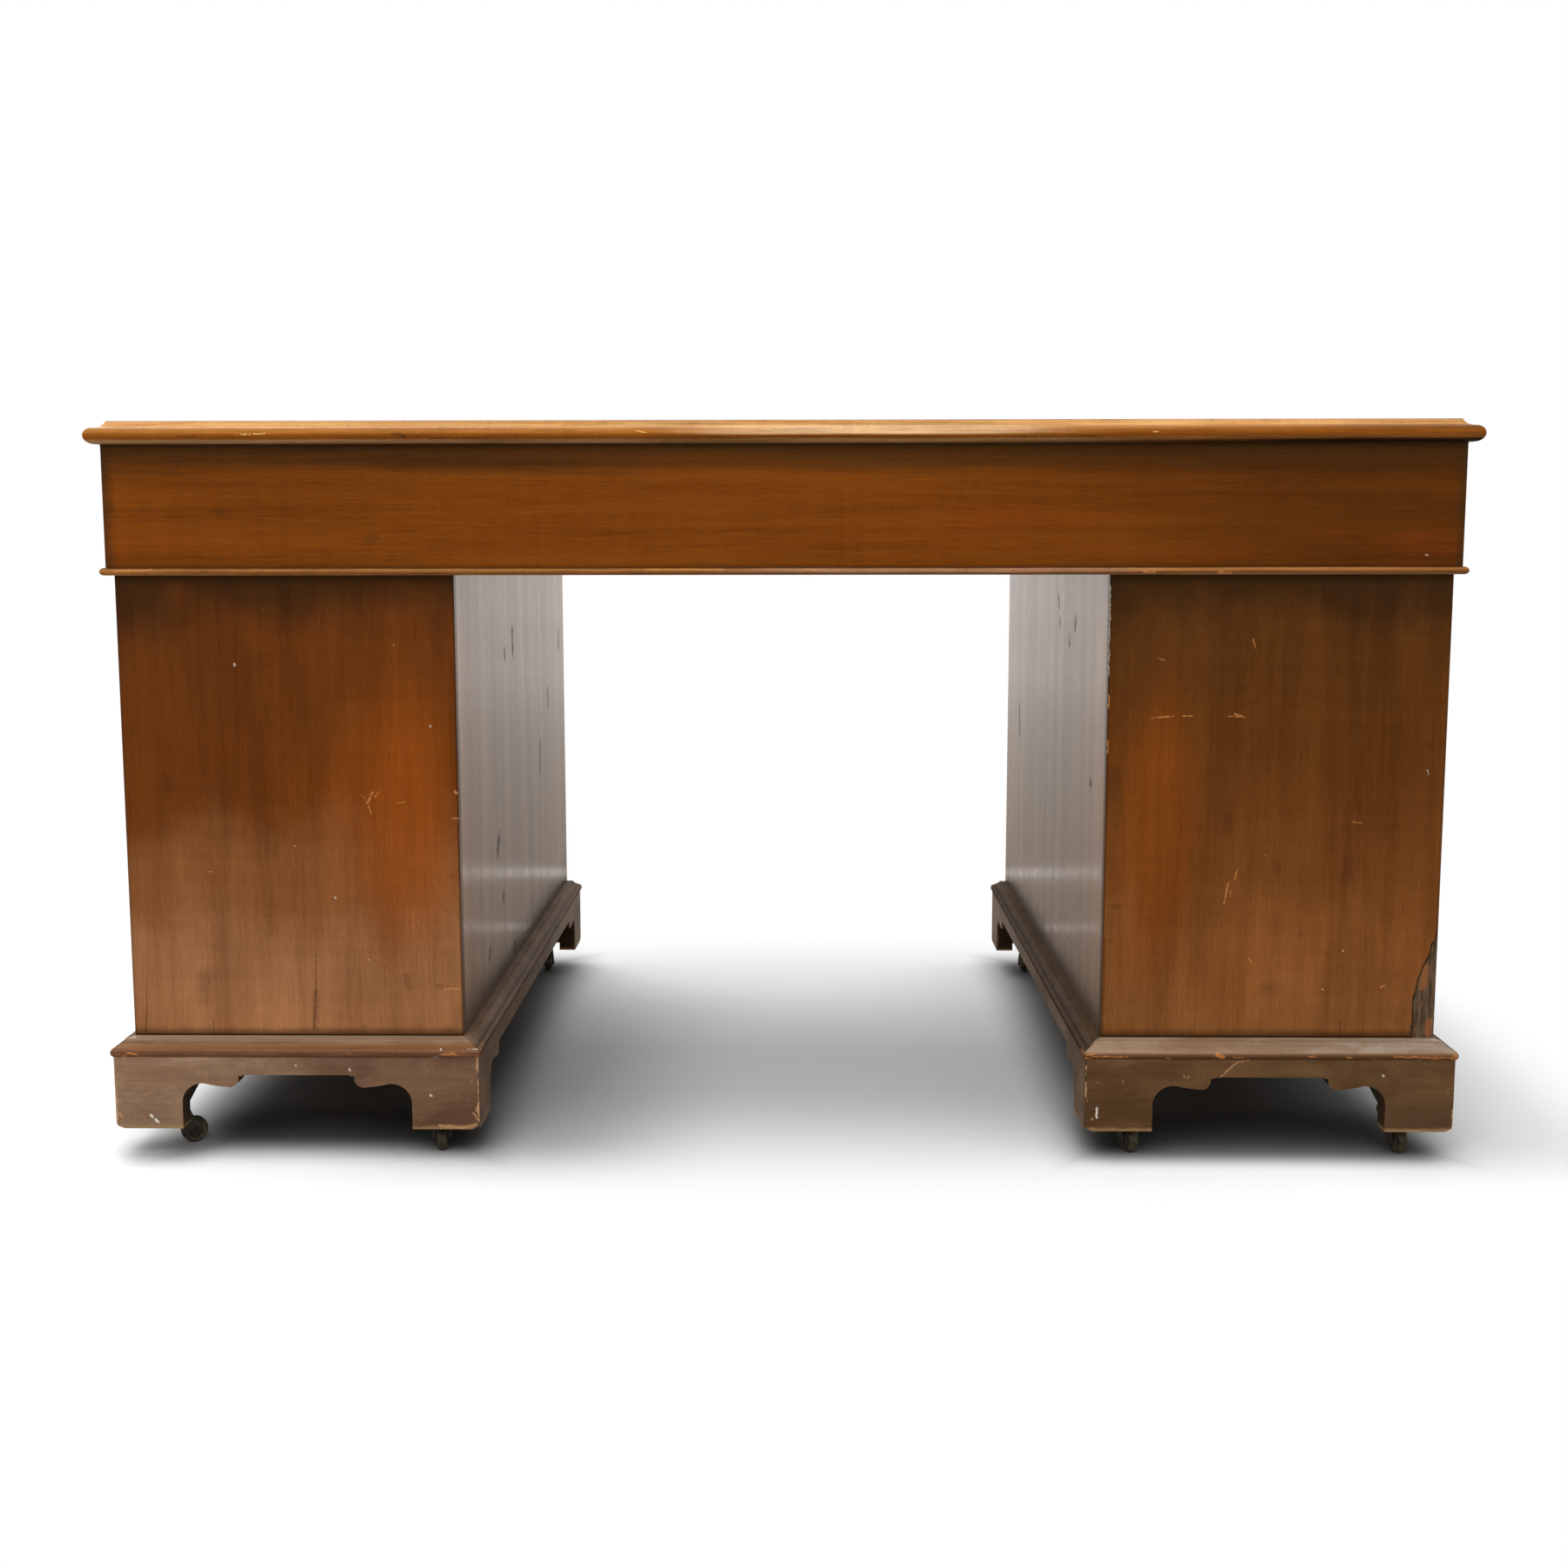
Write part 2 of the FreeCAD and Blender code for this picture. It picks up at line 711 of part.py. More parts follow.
def knob_outline(radius, height):
    """Corners of the knob at one height, closed, with flat sides at the four quarters."""
    angles = [radians(360 * (i + 0.5) / knob_sides) for i in range(knob_sides + 1)]
    return [Vec(radius * cos(a), radius * sin(a), height) for a in angles]


def knob():
    """Faceted knob that points along +Y from the XZ plane: neck, flared head, rim and face."""
    outlines = [knob_outline(knob_neck_radius, 0),
                knob_outline(knob_neck_radius, knob_neck_length),
                knob_outline(knob_radius, knob_rim[0]),
                knob_outline(knob_radius, knob_rim[1]),
                knob_outline(knob_face_radius, knob_length)]
    faces = [Part.Face(Part.makePolygon(outlines[0])), Part.Face(Part.makePolygon(outlines[-1]))]
    for low, high in zip(outlines, outlines[1:]):
        for i in range(knob_sides):
            corners = [low[i], low[i + 1], high[i + 1], high[i], low[i]]
            faces.append(Part.Face(Part.makePolygon(corners)))
    shape = Part.Solid(Part.Shell(faces))
    shape.rotate(Vec(0, 0, 0), ACROSS, -90)
    return shape


def drawer_knobs(d):
    """Two knobs on the front."""
    middle = (d["x0"] + d["x1"]) / 2
    half = knob_spread * (d["x1"] - d["x0"]) / 2
    z = sum(d["front_z"]) / 2
    return [moved(knob(), x, d["face_y"], z) for x in (middle - half, middle + half)]


def drawers():
    """Sizes of all nine drawers, by name."""
    found = {}
    for bay, walls in frieze_bays().items():
        found[bay + "_frieze_drawer"] = drawer_sizes(walls, frieze_floor, frieze_ceiling,
                                                     frieze_front)
    for side, centre in (("left", -pedestal_centre), ("right", pedestal_centre)):
        for name, (floor, ceiling) in pedestal_openings().items():
            found[side + "_" + name + "_drawer"] = drawer_sizes(
                pedestal_bay(centre), floor, ceiling, pedestal_front)
    return found


# ---------------------------------------------------------------- all nodes
def desk_nodes():
    """Every node of the desk, by name, as a list of solids."""
    nodes = {
        "desktop": desktop(),
        "writing_leather": writing_leather(),
        "frieze_back_board": frieze_back_board(),
        "frieze_ends": frieze_ends(),
        "frieze_dividers": frieze_dividers(),
        "frieze_rails": frieze_rails(),
        "frieze_runners": frieze_runners(),
        "frieze_bead": frieze_bead(),
        "dust_boards": frieze_dust_boards(),
        "drawer_stops": drawer_stops(),
        "corner_blocks": corner_blocks(),
        "caster_plates": caster_plates(),
        "caster_bells": caster_bells(),
    }
    for side, centre in (("left", -pedestal_centre), ("right", pedestal_centre)):
        nodes[side + "_pedestal_sides"] = pedestal_sides(centre)
        nodes[side + "_pedestal_near_panel"] = pedestal_near_panel(centre)
        nodes[side + "_pedestal_frame"] = pedestal_frame(centre)
        nodes[side + "_plinth_boards"] = plinth_boards(centre)
        nodes[side + "_plinth_moulding"] = plinth_moulding(centre)
        nodes["dust_boards"] += pedestal_dust_boards(centre)
    fork, wheel = caster_fork(), caster_wheel()
    for name in trail_angles:
        nodes[name + "_caster_fork"] = [placed_caster(fork, name)]
        nodes[name + "_caster_wheel"] = [placed_caster(wheel, name)]
    for name, sizes in drawers().items():
        nodes[name + "_front"] = drawer_front(sizes) + drawer_knobs(sizes)
        nodes[name + "_box"] = drawer_box(sizes)
    return nodes


def write_node(name, solids):
    """Write one node about the row's origin."""
    shape = solids[0] if len(solids) == 1 else Part.makeCompound(solids)
    moved(shape, y=-centre_y).exportStep("parts/" + name + ".step")


os.makedirs("parts", exist_ok=True)
for node, node_solids in desk_nodes().items():
    write_node(node, node_solids)
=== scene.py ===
import json
import math

import bmesh
import bpy
from mathutils import Matrix, Vector

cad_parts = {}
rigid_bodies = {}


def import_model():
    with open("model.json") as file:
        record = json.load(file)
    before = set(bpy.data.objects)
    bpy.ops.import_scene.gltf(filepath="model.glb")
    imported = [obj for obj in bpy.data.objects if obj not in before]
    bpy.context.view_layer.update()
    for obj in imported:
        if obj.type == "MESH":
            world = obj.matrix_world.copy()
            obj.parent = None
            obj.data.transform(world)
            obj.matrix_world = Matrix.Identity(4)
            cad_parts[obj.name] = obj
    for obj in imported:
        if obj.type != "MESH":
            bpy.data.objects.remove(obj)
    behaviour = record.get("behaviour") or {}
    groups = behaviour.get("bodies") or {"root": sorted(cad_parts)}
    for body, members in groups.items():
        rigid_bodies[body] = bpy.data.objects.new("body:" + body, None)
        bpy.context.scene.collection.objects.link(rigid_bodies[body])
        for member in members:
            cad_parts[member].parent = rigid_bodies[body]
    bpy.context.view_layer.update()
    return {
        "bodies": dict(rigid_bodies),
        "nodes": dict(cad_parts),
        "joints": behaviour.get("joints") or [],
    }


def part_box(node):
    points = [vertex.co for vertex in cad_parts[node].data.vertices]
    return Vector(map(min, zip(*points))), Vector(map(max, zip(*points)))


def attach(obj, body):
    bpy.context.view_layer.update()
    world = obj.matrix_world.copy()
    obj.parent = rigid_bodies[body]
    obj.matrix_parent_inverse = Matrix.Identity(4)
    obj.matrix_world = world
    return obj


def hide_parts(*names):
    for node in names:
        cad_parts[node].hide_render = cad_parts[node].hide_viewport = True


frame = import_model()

nodes = frame["nodes"]


def show(obj):
    """Puts an object in the scene."""
    bpy.context.scene.collection.objects.link(obj)


# ---- camera
def make_camera():
    """The photograph's view: focal length, place and turn come from a fit to the desk's edges."""
    yaw, pitch, roll = (math.radians(a) for a in (-0.724, -6.949, -0.071))
    forward = Vector((math.sin(yaw) * math.cos(pitch), math.cos(yaw) * math.cos(pitch), math.sin(pitch)))
    level = Vector((math.cos(yaw), -math.sin(yaw), 0))
    upward = level.cross(forward)
    right = level * math.cos(roll) + upward * math.sin(roll)
    up = upward * math.cos(roll) - level * math.sin(roll)
    camera = bpy.data.objects.new("camera", bpy.data.cameras.new("camera"))
    camera.data.sensor_width = 36
    camera.data.lens = 40.8745
    camera.data.shift_x, camera.data.shift_y = 0.00682, -0.01994
    camera.data.clip_end = 100
    turn = Matrix((right, up, -forward)).transposed().to_4x4()
    camera.matrix_world = Matrix.Translation((0.01523, -2.3044, 0.66638)) @ turn
    show(camera)
    bpy.context.scene.camera = camera


# ---- shader building
def srgb(red, green, blue):
    """Linear colour from display values of 0 to 255."""
    return tuple(((c / 255 + 0.055) / 1.055) ** 2.4 if c > 10 else c / 3295 for c in (red, green, blue))


class Nodes:
    """Short forms for the nodes of one tree.

    A value is a number, a tuple or a node's output. Colours of whole numbers are display values, 0 to 255.
    """

    def __init__(self, tree):
        self.tree = tree
        tree.nodes.clear()

    def node(self, kind, settings=None, **inputs):
        """New node; settings are its properties, and inputs are named with _ for a space."""
        made = self.tree.nodes.new(kind)
        for name, value in (settings or {}).items():
            setattr(made, name, value)
        for name, value in inputs.items():
            self.put(made.inputs[name.replace("_", " ")], value)
        return made

    def put(self, socket, value):
        if isinstance(value, bpy.types.NodeSocket):
            self.tree.links.new(value, socket)
        elif socket.type == "RGBA" and len(value) == 3:
            whole = all(isinstance(c, int) for c in value)
            socket.default_value = (*(srgb(*value) if whole else value), 1)
        else:
            socket.default_value = value

    def fill(self, sockets, *values):
        for socket, value in zip(sockets, values):
            self.put(socket, value)

    def sum(self, kind, *values, clamp=False):
        """Result of one kind of sum."""
        made = self.node("ShaderNodeMath", {"operation": kind, "use_clamp": clamp})
        self.fill(made.inputs, *values)
        return made.outputs[0]

    def times(self, first, *others):
        for other in others:
            first = self.sum("MULTIPLY", first, other)
        return first

    def linear(self, value, slope, start, clamp=False):
        """Value times slope, plus start."""
        return self.sum("MULTIPLY_ADD", value, slope, start, clamp=clamp)

    def plus(self, value, other):
        return self.sum("ADD", value, other)

    def most(self, value, other):
        return self.sum("MAXIMUM", value, other)

    def less(self, value, other):
        return self.sum("SUBTRACT", value, other)

    def sway(self, value, noise, amount):
        """Value moved up and down by noise that is about 0.5 on average."""
        return self.linear(self.less(noise, 0.5), amount, value)

    def off(self, value, middle=0.0):
        """How far value is from middle."""
        return self.sum("ABSOLUTE", self.less(value, middle) if middle else value)

    def hypot(self, along, up):
        """Length of a step along and a step up."""
        return self.sum("SQRT", self.plus(self.times(along, along), self.times(up, up)))

    def vector(self, kind, *values):
        made = self.node("ShaderNodeVectorMath", {"operation": kind})
        self.fill(made.inputs, *values)
        return made.outputs["Value" if kind in ("LENGTH", "DOT_PRODUCT") else "Vector"]

    def scaled(self, vector, factor):
        made = self.node("ShaderNodeVectorMath", {"operation": "SCALE"}, Scale=factor)
        self.put(made.inputs[0], vector)
        return made.outputs["Vector"]

    def fade(self, value, low, high, to_low=0.0, to_high=1.0):
        """Smooth step of value between low and high."""
        made = self.node("ShaderNodeMapRange", {"interpolation_type": "SMOOTHSTEP"}, Value=value)
        self.fill(made.inputs[1:5], low, high, to_low, to_high)
        return made.outputs[0]

    def drop(self, value, low, high, start=1.0):
        """Smooth step down from start to 0."""
        return self.fade(value, low, high, start, 0.0)

    def within(self, value, low, high, soft=0.004):
        """1 where value is between low and high."""
        up = self.fade(value, low - soft, low + soft)
        down = self.drop(value, high - soft, high + soft)
        return self.times(up, down)

    def noise(self, size, detail=3.0, rough=0.55, bend=0.0, offset=(0, 0, 0), place=None):
        """Noise whose features are size metres across, which may differ along X, Y and Z."""
        stretch = tuple(1 / s for s in (size if isinstance(size, tuple) else (size,) * 3))
        moved = self.node("ShaderNodeMapping", Vector=place or self.place, Location=offset, Scale=stretch)
        return self.node("ShaderNodeTexNoise", Vector=moved.outputs[0], Scale=1.0, Detail=detail,
                         Roughness=rough, Distortion=bend).outputs[0]

    def mix(self, share, first, second, kind="MIX"):
        made = self.node("ShaderNodeMix", {"data_type": "RGBA", "blend_type": kind})
        self.put(made.inputs[0], share)
        self.fill(made.inputs[6:8], first, second)
        return made.outputs[2]

    def ramp(self, value, *stops):
        """Colour of a value between stops, each a level and a colour."""
        made = self.node("ShaderNodeValToRGB", Fac=value)
        points = made.color_ramp.elements
        while len(points) < len(stops):
            points.new(0.5)
        for point, (at, colour) in zip(points, stops):
            point.position = at
            point.color = (*colour, 1)
        return made.outputs[0]


class Shade(Nodes):
    """The nodes of one material, and the colour that they give so far."""

    def __init__(self, name):
        self.material = bpy.data.materials.new(name)
        self.material.use_nodes = True
        super().__init__(self.material.node_tree)
        self.place = self.node("ShaderNodeTexCoord").outputs["Object"]
        split = self.node("ShaderNodeSeparateXYZ", Vector=self.place)
        self.x, self.y, self.z = split.outputs[:]
        self.uneven = None
        self.colour = None

    def paint(self, share, colour, strength=None):
        """Lays a colour over what is there."""
        self.colour = self.mix(self.times(share, strength) if strength else share, self.colour, colour)

    def tinted(self, colour, *tint):
        """Colour times the three numbers of a tint."""
        return self.mix(1.0, colour, tint, "MULTIPLY")

    def dappled(self, share, dark, light):
        """Tints the colour so far from dark to light as share goes from 0 to 1."""
        self.colour = self.mix(share, self.tinted(self.colour, *dark), self.tinted(self.colour, *light))

    def on_right(self, left=0.0, right=1.0):
        """One number on the left half of the desk and another on the right."""
        return self.fade(self.x, -0.02, 0.02, left, right)

    def shaken(self):
        """Place moved a little by noise, so that the outline of a mark is uneven."""
        if self.uneven is None:
            noise = self.node("ShaderNodeTexNoise", Vector=self.place, Scale=240.0, Detail=4.0,
                              Roughness=0.65)
            shift = self.vector("SUBTRACT", noise.outputs["Color"], (0.5, 0.5, 0.5))
            self.uneven = self.vector("ADD", self.place, self.scaled(shift, 0.004))
        return self.uneven

    def line(self, start, end, width, soft=0.6):
        """1 on a mark between two points, 0 away from it."""
        a, b = Vector(start), Vector(end)
        run = b - a
        away = self.vector("SUBTRACT", self.shaken(), tuple(a))
        if run.length < 1e-6:
            distance = self.vector("LENGTH", away)
        else:
            share = self.vector("DOT_PRODUCT", away, tuple(run / run.length_squared))
            share = self.sum("MINIMUM", self.most(share, 0.0), 1.0)
            nearest = self.scaled(tuple(run), share)
            distance = self.vector("LENGTH", self.vector("SUBTRACT", away, nearest))
        return self.drop(distance, width * 0.5 * (1 - soft), width * 0.5 * (1 + soft))

    def lines(self, places, face, sideways=False, soft=0.6):
        """Marks on the face at y (or x), each from along, up to along, up and width, in mm."""
        total = None
        for a0, z0, a1, z1, width in places:
            start, end = (a0 / 1000, face, z0 / 1000), (a1 / 1000, face, z1 / 1000)
            if sideways:
                start, end = (face, a0 / 1000, z0 / 1000), (face, a1 / 1000, z1 / 1000)
            mark = self.line(start, end, width / 1000, soft)
            total = mark if total is None else self.most(total, mark)
        return total

    def marks(self, places, face, strength=1.0, whole=0.25, soft=0.6):
        """How strongly listed marks show: broken lines, but for the share that is left whole."""
        broken = self.noise(0.0022, 2.0, 0.6, 0.0, (6, 6, 1))
        return self.times(self.lines(places, face, soft=soft),
                          self.fade(broken, 0.30, 0.55, whole * strength, strength))

    def mark(self, places, face, colour, *strength):
        """Paints listed marks and returns how strongly they show."""
        share = self.marks(places, face, *strength)
        self.paint(share, colour)
        return share

    def finish(self, roughness, height=None, depth=0.0002, **settings):
        """Material of the colour so far, with a bump of depth metres where height is given."""
        shader = self.node("ShaderNodeBsdfPrincipled", Base_Color=self.colour, Roughness=roughness,
                           **settings)
        if height is not None:
            bump = self.node("ShaderNodeBump", Height=height, Distance=depth, Strength=1.0)
            self.put(shader.inputs["Normal"], bump.outputs[0])
        self.node("ShaderNodeOutputMaterial", Surface=shader.outputs[0])
        return self.material


def grain(s, direction, seed=0.0, place=None, ripple=0.12, lines=1.0, fine=1.0):
    """Tone of the wood, about 0.5 on average, and its surface height. Grain runs along one axis."""
    shift = (seed, seed * 1.7, seed * 2.3)

    def layer(length, width, *shape):
        size = tuple(length if axis == direction else width for axis in "XYZ")
        return s.noise(size, *shape, shift, place=place)

    broad = layer(0.55, 0.055, 2.0, 0.5, 0.6)
    streaks = layer(0.30, 0.0085, 3.0, 0.6, 0.35)
    fibres = layer(0.045, 0.0011, 2.0, 0.6, 0.0)
    pores = layer(0.006, 0.00045, 1.0, 0.5, 0.0)
    figure = layer(0.016, 0.16, 2.0, 0.5, 0.8)
    tone = s.sway(0.5, broad, 0.45)
    tone = s.sway(tone, streaks, 0.50 * lines)
    tone = s.sway(tone, fibres, 0.42 * fine)
    tone = s.sway(tone, figure, ripple)
    pore = s.fade(pores, 0.60, 0.72)
    tone = s.linear(pore, -0.16 * fine, tone)
    height = s.linear(fibres, 0.5, s.times(pore, -0.6))
    height = s.linear(streaks, 0.6, height)
    return tone, height


def stain(s, tone):
    """Turns the colour so far into wood of that tone: darker lines are also redder."""
    depth = s.ramp(tone, (0.18, (0.42, 0.34, 0.28)), (0.5, (1.0, 1.0, 1.0)), (0.86, (1.55, 1.62, 1.75)))
    s.colour = s.mix(1.0, s.colour, depth, "MULTIPLY")


def lacquer(s, tone, base=0.24):
    """Roughness of an old polish, which is uneven and duller along the open grain."""
    patchy = s.noise(0.09, 4.0, 0.6, 0.4, (3, 1, 4))
    value = s.sway(base, patchy, 0.18)
    return s.linear(s.less(tone, 0.5), -0.08, value, clamp=True)


# ---- the desk's places and colours
# in metres: the near side's faces along Y
PANEL_FACE, FRIEZE_FACE, PLINTH_FACE, NOSE_FACE = -0.44155, -0.44805, -0.45955, -0.46195
BEAD_FACE, SHELF_FACE, TOP_FACE = -0.4526, -0.4600, -0.4606
MIDDLE_Y = -0.00605             # of the top and the pedestals: the knobs set the desk's box off to one side
PEDESTAL_X = 0.51975            # middle of each pedestal
KNEEHOLE_HALF = 0.342
TOP_HALVES = 0.717, 0.455       # half sizes of mitred frames, along X and Y
FRIEZE_HALVES = 0.704, 0.442
PLINTH_HALVES = 0.17775, 0.4355
LEATHER_HALVES = 0.645, 0.383
RAW, PALE, DROPS, SOOT = (196, 132, 74), (214, 200, 180), (232, 226, 214), (30, 19, 12)
WARM_GLOSS = dict(IOR=1.26, Specular_Tint=(1.0, 0.60, 0.25, 1.0))
DULL_GLOSS = dict(IOR=1.30, Specular_Tint=(1.0, 0.85, 0.70, 1.0))


# ---- materials
def zones(s, level, *stops):
    """Colours that blend smoothly from one level to the next."""
    colour = stops[0][1]
    for (low, _), (high, above) in zip(stops, stops[1:]):
        colour = s.mix(s.fade(level, low, high), colour, above)
    return colour


def waved(s, value, size, amount, seed):
    """Value moved up and down by noise, so that a zone's edge wanders along the grain."""
    wave = s.noise(size, 3.0, 0.6, 0.4, (seed, seed * 1.3, seed * 0.7))
    return s.sway(value, wave, amount)


def mitred_place(s, halves, centre=0.0):
    """Place whose X runs along the boards of a mitred frame, and how far past the mitre it lies."""
    across = s.less(s.off(s.x), centre)
    across = s.less(s.off(across), halves[0])
    ahead = s.less(s.off(s.y, MIDDLE_Y), halves[1])
    turned = s.node("ShaderNodeCombineXYZ", X=s.y, Y=s.x, Z=s.z).outputs[0]
    side = s.sum("GREATER_THAN", across, ahead)
    chosen = s.node("ShaderNodeMix", {"data_type": "VECTOR"})
    s.put(chosen.inputs[0], side)
    s.fill(chosen.inputs[4:6], s.place, turned)
    return chosen.outputs[1], s.less(across, ahead)


def frieze_veneer():
    """Frieze boards: darker towards the right end and dark at the top, both partly painted shade, with
    painted shadow lines under the top and above the bead; redder patches, and worn mitres.
    """
    s = Shade("frieze_veneer")
    place, mitre = mitred_place(s, FRIEZE_HALVES)
    tone, height = grain(s, "X", 1.3, place, lines=0.75, fine=0.9)
    level = waved(s, s.z, (0.35, 0.3, 0.02), 0.03, 2.0)
    length = waved(s, s.x, (0.4, 0.3, 0.05), 0.35, 3.0)
    # darker towards the right end: painted shade, as of light from the left
    s.colour = s.mix(s.fade(length, 0.10, 0.62), (113, 57, 10), (80, 39, 5))
    red = s.noise((0.30, 0.25, 0.028), 2.0, 0.5, 0.5, (9, 4, 7), place=place)
    s.paint(s.fade(red, 0.54, 0.80, 0.0, 0.55), (116, 50, 10))
    # dark band at the top: partly darker wood and partly a painted shadow under the top's overhang
    s.paint(s.fade(level, 0.722, 0.752, 0.0, 0.88), (56, 32, 10))
    # painted shadow line in the gap under the top
    s.paint(s.fade(s.z, 0.756, 0.7605, 0.0, 0.5), (40, 24, 10))
    # painted shadow line just above the bead
    s.paint(s.drop(s.z, 0.6345, 0.6385, 0.35), (40, 22, 8))
    arris = waved(s, s.off(mitre), (0.02, 0.02, 0.03), 0.010, 5.0)
    s.paint(s.drop(arris, 0.0, 0.014, 0.65), (52, 34, 16))
    s.paint(s.fade(s.y, 0.4352, 0.4356), (104, 52, 18))
    stain(s, tone)
    s.mark([(-584, 692, -580, 692, 9), (-428, 664, -422, 665, 9), (-699, 694, -697, 699, 10),
            (120, 754, 124, 754, 5)], FRIEZE_FACE, (64, 40, 14), 0.4)
    s.mark([(666, 646, 667, 646, 1.8)], FRIEZE_FACE, PALE, 0.7)
    return s.finish(lacquer(s, tone), height, 0.00012, **WARM_GLOSS)


def bead_wood():
    """The half-round bead: rubbed golden, with raw chips along it, a painted highlight on its upper half in
    the middle and a painted shadow line under the frieze.
    """
    s = Shade("bead_wood")
    place, _ = mitred_place(s, FRIEZE_HALVES)
    tone, height = grain(s, "X", 3.7, place)
    rubbed = s.noise((0.09, 0.02, 0.006), 3.0, 0.6, 0.3, (4, 1, 2), place=place)
    level = s.plus(waved(s, s.z, (0.08, 0.02, 0.01), 0.0012, 2.0), s.fade(s.x, 0.20, 0.60, 0.0, -0.0008))
    side = s.fade(s.x, -0.45, 0.20)
    s.colour = zones(s, level, (0.6264, s.mix(side, (182, 130, 84), (146, 108, 76))),
                     (0.6276, s.mix(side, (140, 88, 42), (116, 70, 32))),
                     (0.6292, s.mix(side, (144, 92, 46), (130, 80, 39))), (0.6304, (158, 106, 54)))
    # pinkish painted highlight on the bead's upper half, in the middle
    pink_highlight = s.times(s.within(s.x, -0.04, 0.36, 0.06), s.fade(level, 0.6278, 0.6292, 0.0, 0.5))
    s.paint(pink_highlight, (176, 136, 112))
    s.colour = s.mix(s.fade(rubbed, 0.35, 0.68), s.tinted(s.colour, 0.80, 0.78, 0.74), s.colour)
    # painted shadow line where the bead meets the frieze above
    s.paint(s.fade(level, 0.6322, 0.6332, 0.0, 0.85), (48, 26, 10))
    stain(s, tone)
    s.mark([(453, 628, 465, 627, 3.2), (375, 629, 386, 628, 2.2), (-140, 632, -60, 632, 1.4),
            (20, 632, 44, 632, 1.2), (-694, 631, -655, 632, 1.6)], BEAD_FACE, RAW, 0.8)
    return s.finish(lacquer(s, tone, 0.34), height, 0.00015, **WARM_GLOSS)


def near_panel(name, seed, stops, glow, cracks, scratches, specks, smudges_and_shade, lost=False):
    """Veneer of one plain panel: darker at the top, partly dirt and partly a painted shadow under the
    frieze, and lighter and pinker towards the floor as a painted reflection of the floor.

    glow is a patch's middle and reach along X and Z, and its colour. The marks are in mm, as in lines().
    """
    s = Shade(name)
    tone, height = grain(s, "Z", seed, lines=0.4, fine=0.65)
    level = waved(s, s.z, (0.040, 0.05, 0.30), 0.055, seed)
    level = waved(s, level, (0.12, 0.2, 0.10), 0.12, seed + 2)
    s.colour = zones(s, level, *stops)
    cloud = s.noise((0.030, 0.05, 0.20), 3.0, 0.55, 0.25, (seed, 2, 8))
    s.dappled(s.fade(cloud, 0.30, 0.70), (0.90, 0.87, 0.85), (1.08, 1.09, 1.10))
    bloom = s.noise((0.11, 0.11, 0.13), 3.0, 0.6, 0.4, (seed, 5, 1))
    s.paint(s.drop(bloom, 0.36, 0.66, 0.16), (70, 40, 20))
    middle_x, middle_z, reach_x, reach_z, shade = glow
    across = s.sum("DIVIDE", s.less(waved(s, s.x, (0.03, 0.03, 0.2), 0.06, seed + 4), middle_x), reach_x)
    upward = s.sum("DIVIDE", s.less(s.z, middle_z), reach_z)
    s.paint(s.drop(s.hypot(across, upward), 0.25, 1.0, 0.75), shade)
    inner = s.off(s.x)
    s.paint(s.drop(inner, 0.3425, 0.3450, 0.75), (44, 24, 14))
    s.paint(s.fade(inner, 0.693, 0.698, 0.0, 0.45), (60, 36, 20))
    # darker just above the moulding: painted shade, and a painted shadow line in the joint with it
    foot = waved(s, s.z, (0.03, 0.03, 0.01), 0.006, 8.0)
    s.paint(s.drop(foot, 0.134, 0.144, 0.7), (52, 30, 17))
    s.paint(s.drop(s.z, 0.1328, 0.1350, 0.95), (20, 11, 6))
    stain(s, tone)
    # dark smudges, some of them painted shade beside a crack and at the panel's inner foot
    s.mark(smudges_and_shade, PANEL_FACE, (58, 34, 19), 0.32, 0.6, 1.0)
    split = s.mark(cracks, PANEL_FACE, SOOT, 0.7, 0.8)
    s.mark(scratches, PANEL_FACE, RAW, 0.75)
    s.mark(specks, PANEL_FACE, PALE, 0.75)
    height = s.linear(split, -2.5, height)
    rough = lacquer(s, tone, 0.27)
    if lost:
        # veneer lost along the outer edge at the foot: a dark, fibrous ground inside a broken, curved edge
        outer_edge, width = 0.6975, 0.0235
        reach = s.less(outer_edge, s.times(s.drop(s.z, 0.170, 0.264), width))
        torn = waved(s, s.x, (0.010, 0.02, 0.020), 0.006, 11.0)
        gone = s.times(s.fade(s.less(torn, reach), -0.0005, 0.0005), s.drop(s.z, 0.252, 0.262))
        ground = s.noise((0.0035, 0.01, 0.03), 3.0, 0.6, 0.2, (2, 9, 4))
        bare = s.mix(s.fade(ground, 0.35, 0.65), (56, 46, 36), (96, 76, 58))
        fleck = s.noise((0.004, 0.01, 0.014), 2.0, 0.5, 0.3, (7, 3, 2))
        bare = s.mix(s.fade(fleck, 0.62, 0.66, 0.0, 0.5), bare, (142, 88, 50))
        chips = s.marks([(686, 210, 684, 188, 7), (692, 150, 691, 138, 7)], PANEL_FACE, 0.8, 0.6)
        bare = s.mix(chips, bare, (142, 88, 50))
        lip = s.within(s.less(torn, reach), 0.0, 0.0016, 0.0006)
        bare = s.mix(s.times(lip, 0.85), bare, SOOT)
        s.paint(gone, bare)
        height = s.linear(gone, -5.0, height)
        rough = s.linear(gone, 0.4, rough, clamp=True)
    return s.finish(rough, height, 0.00014, **WARM_GLOSS)


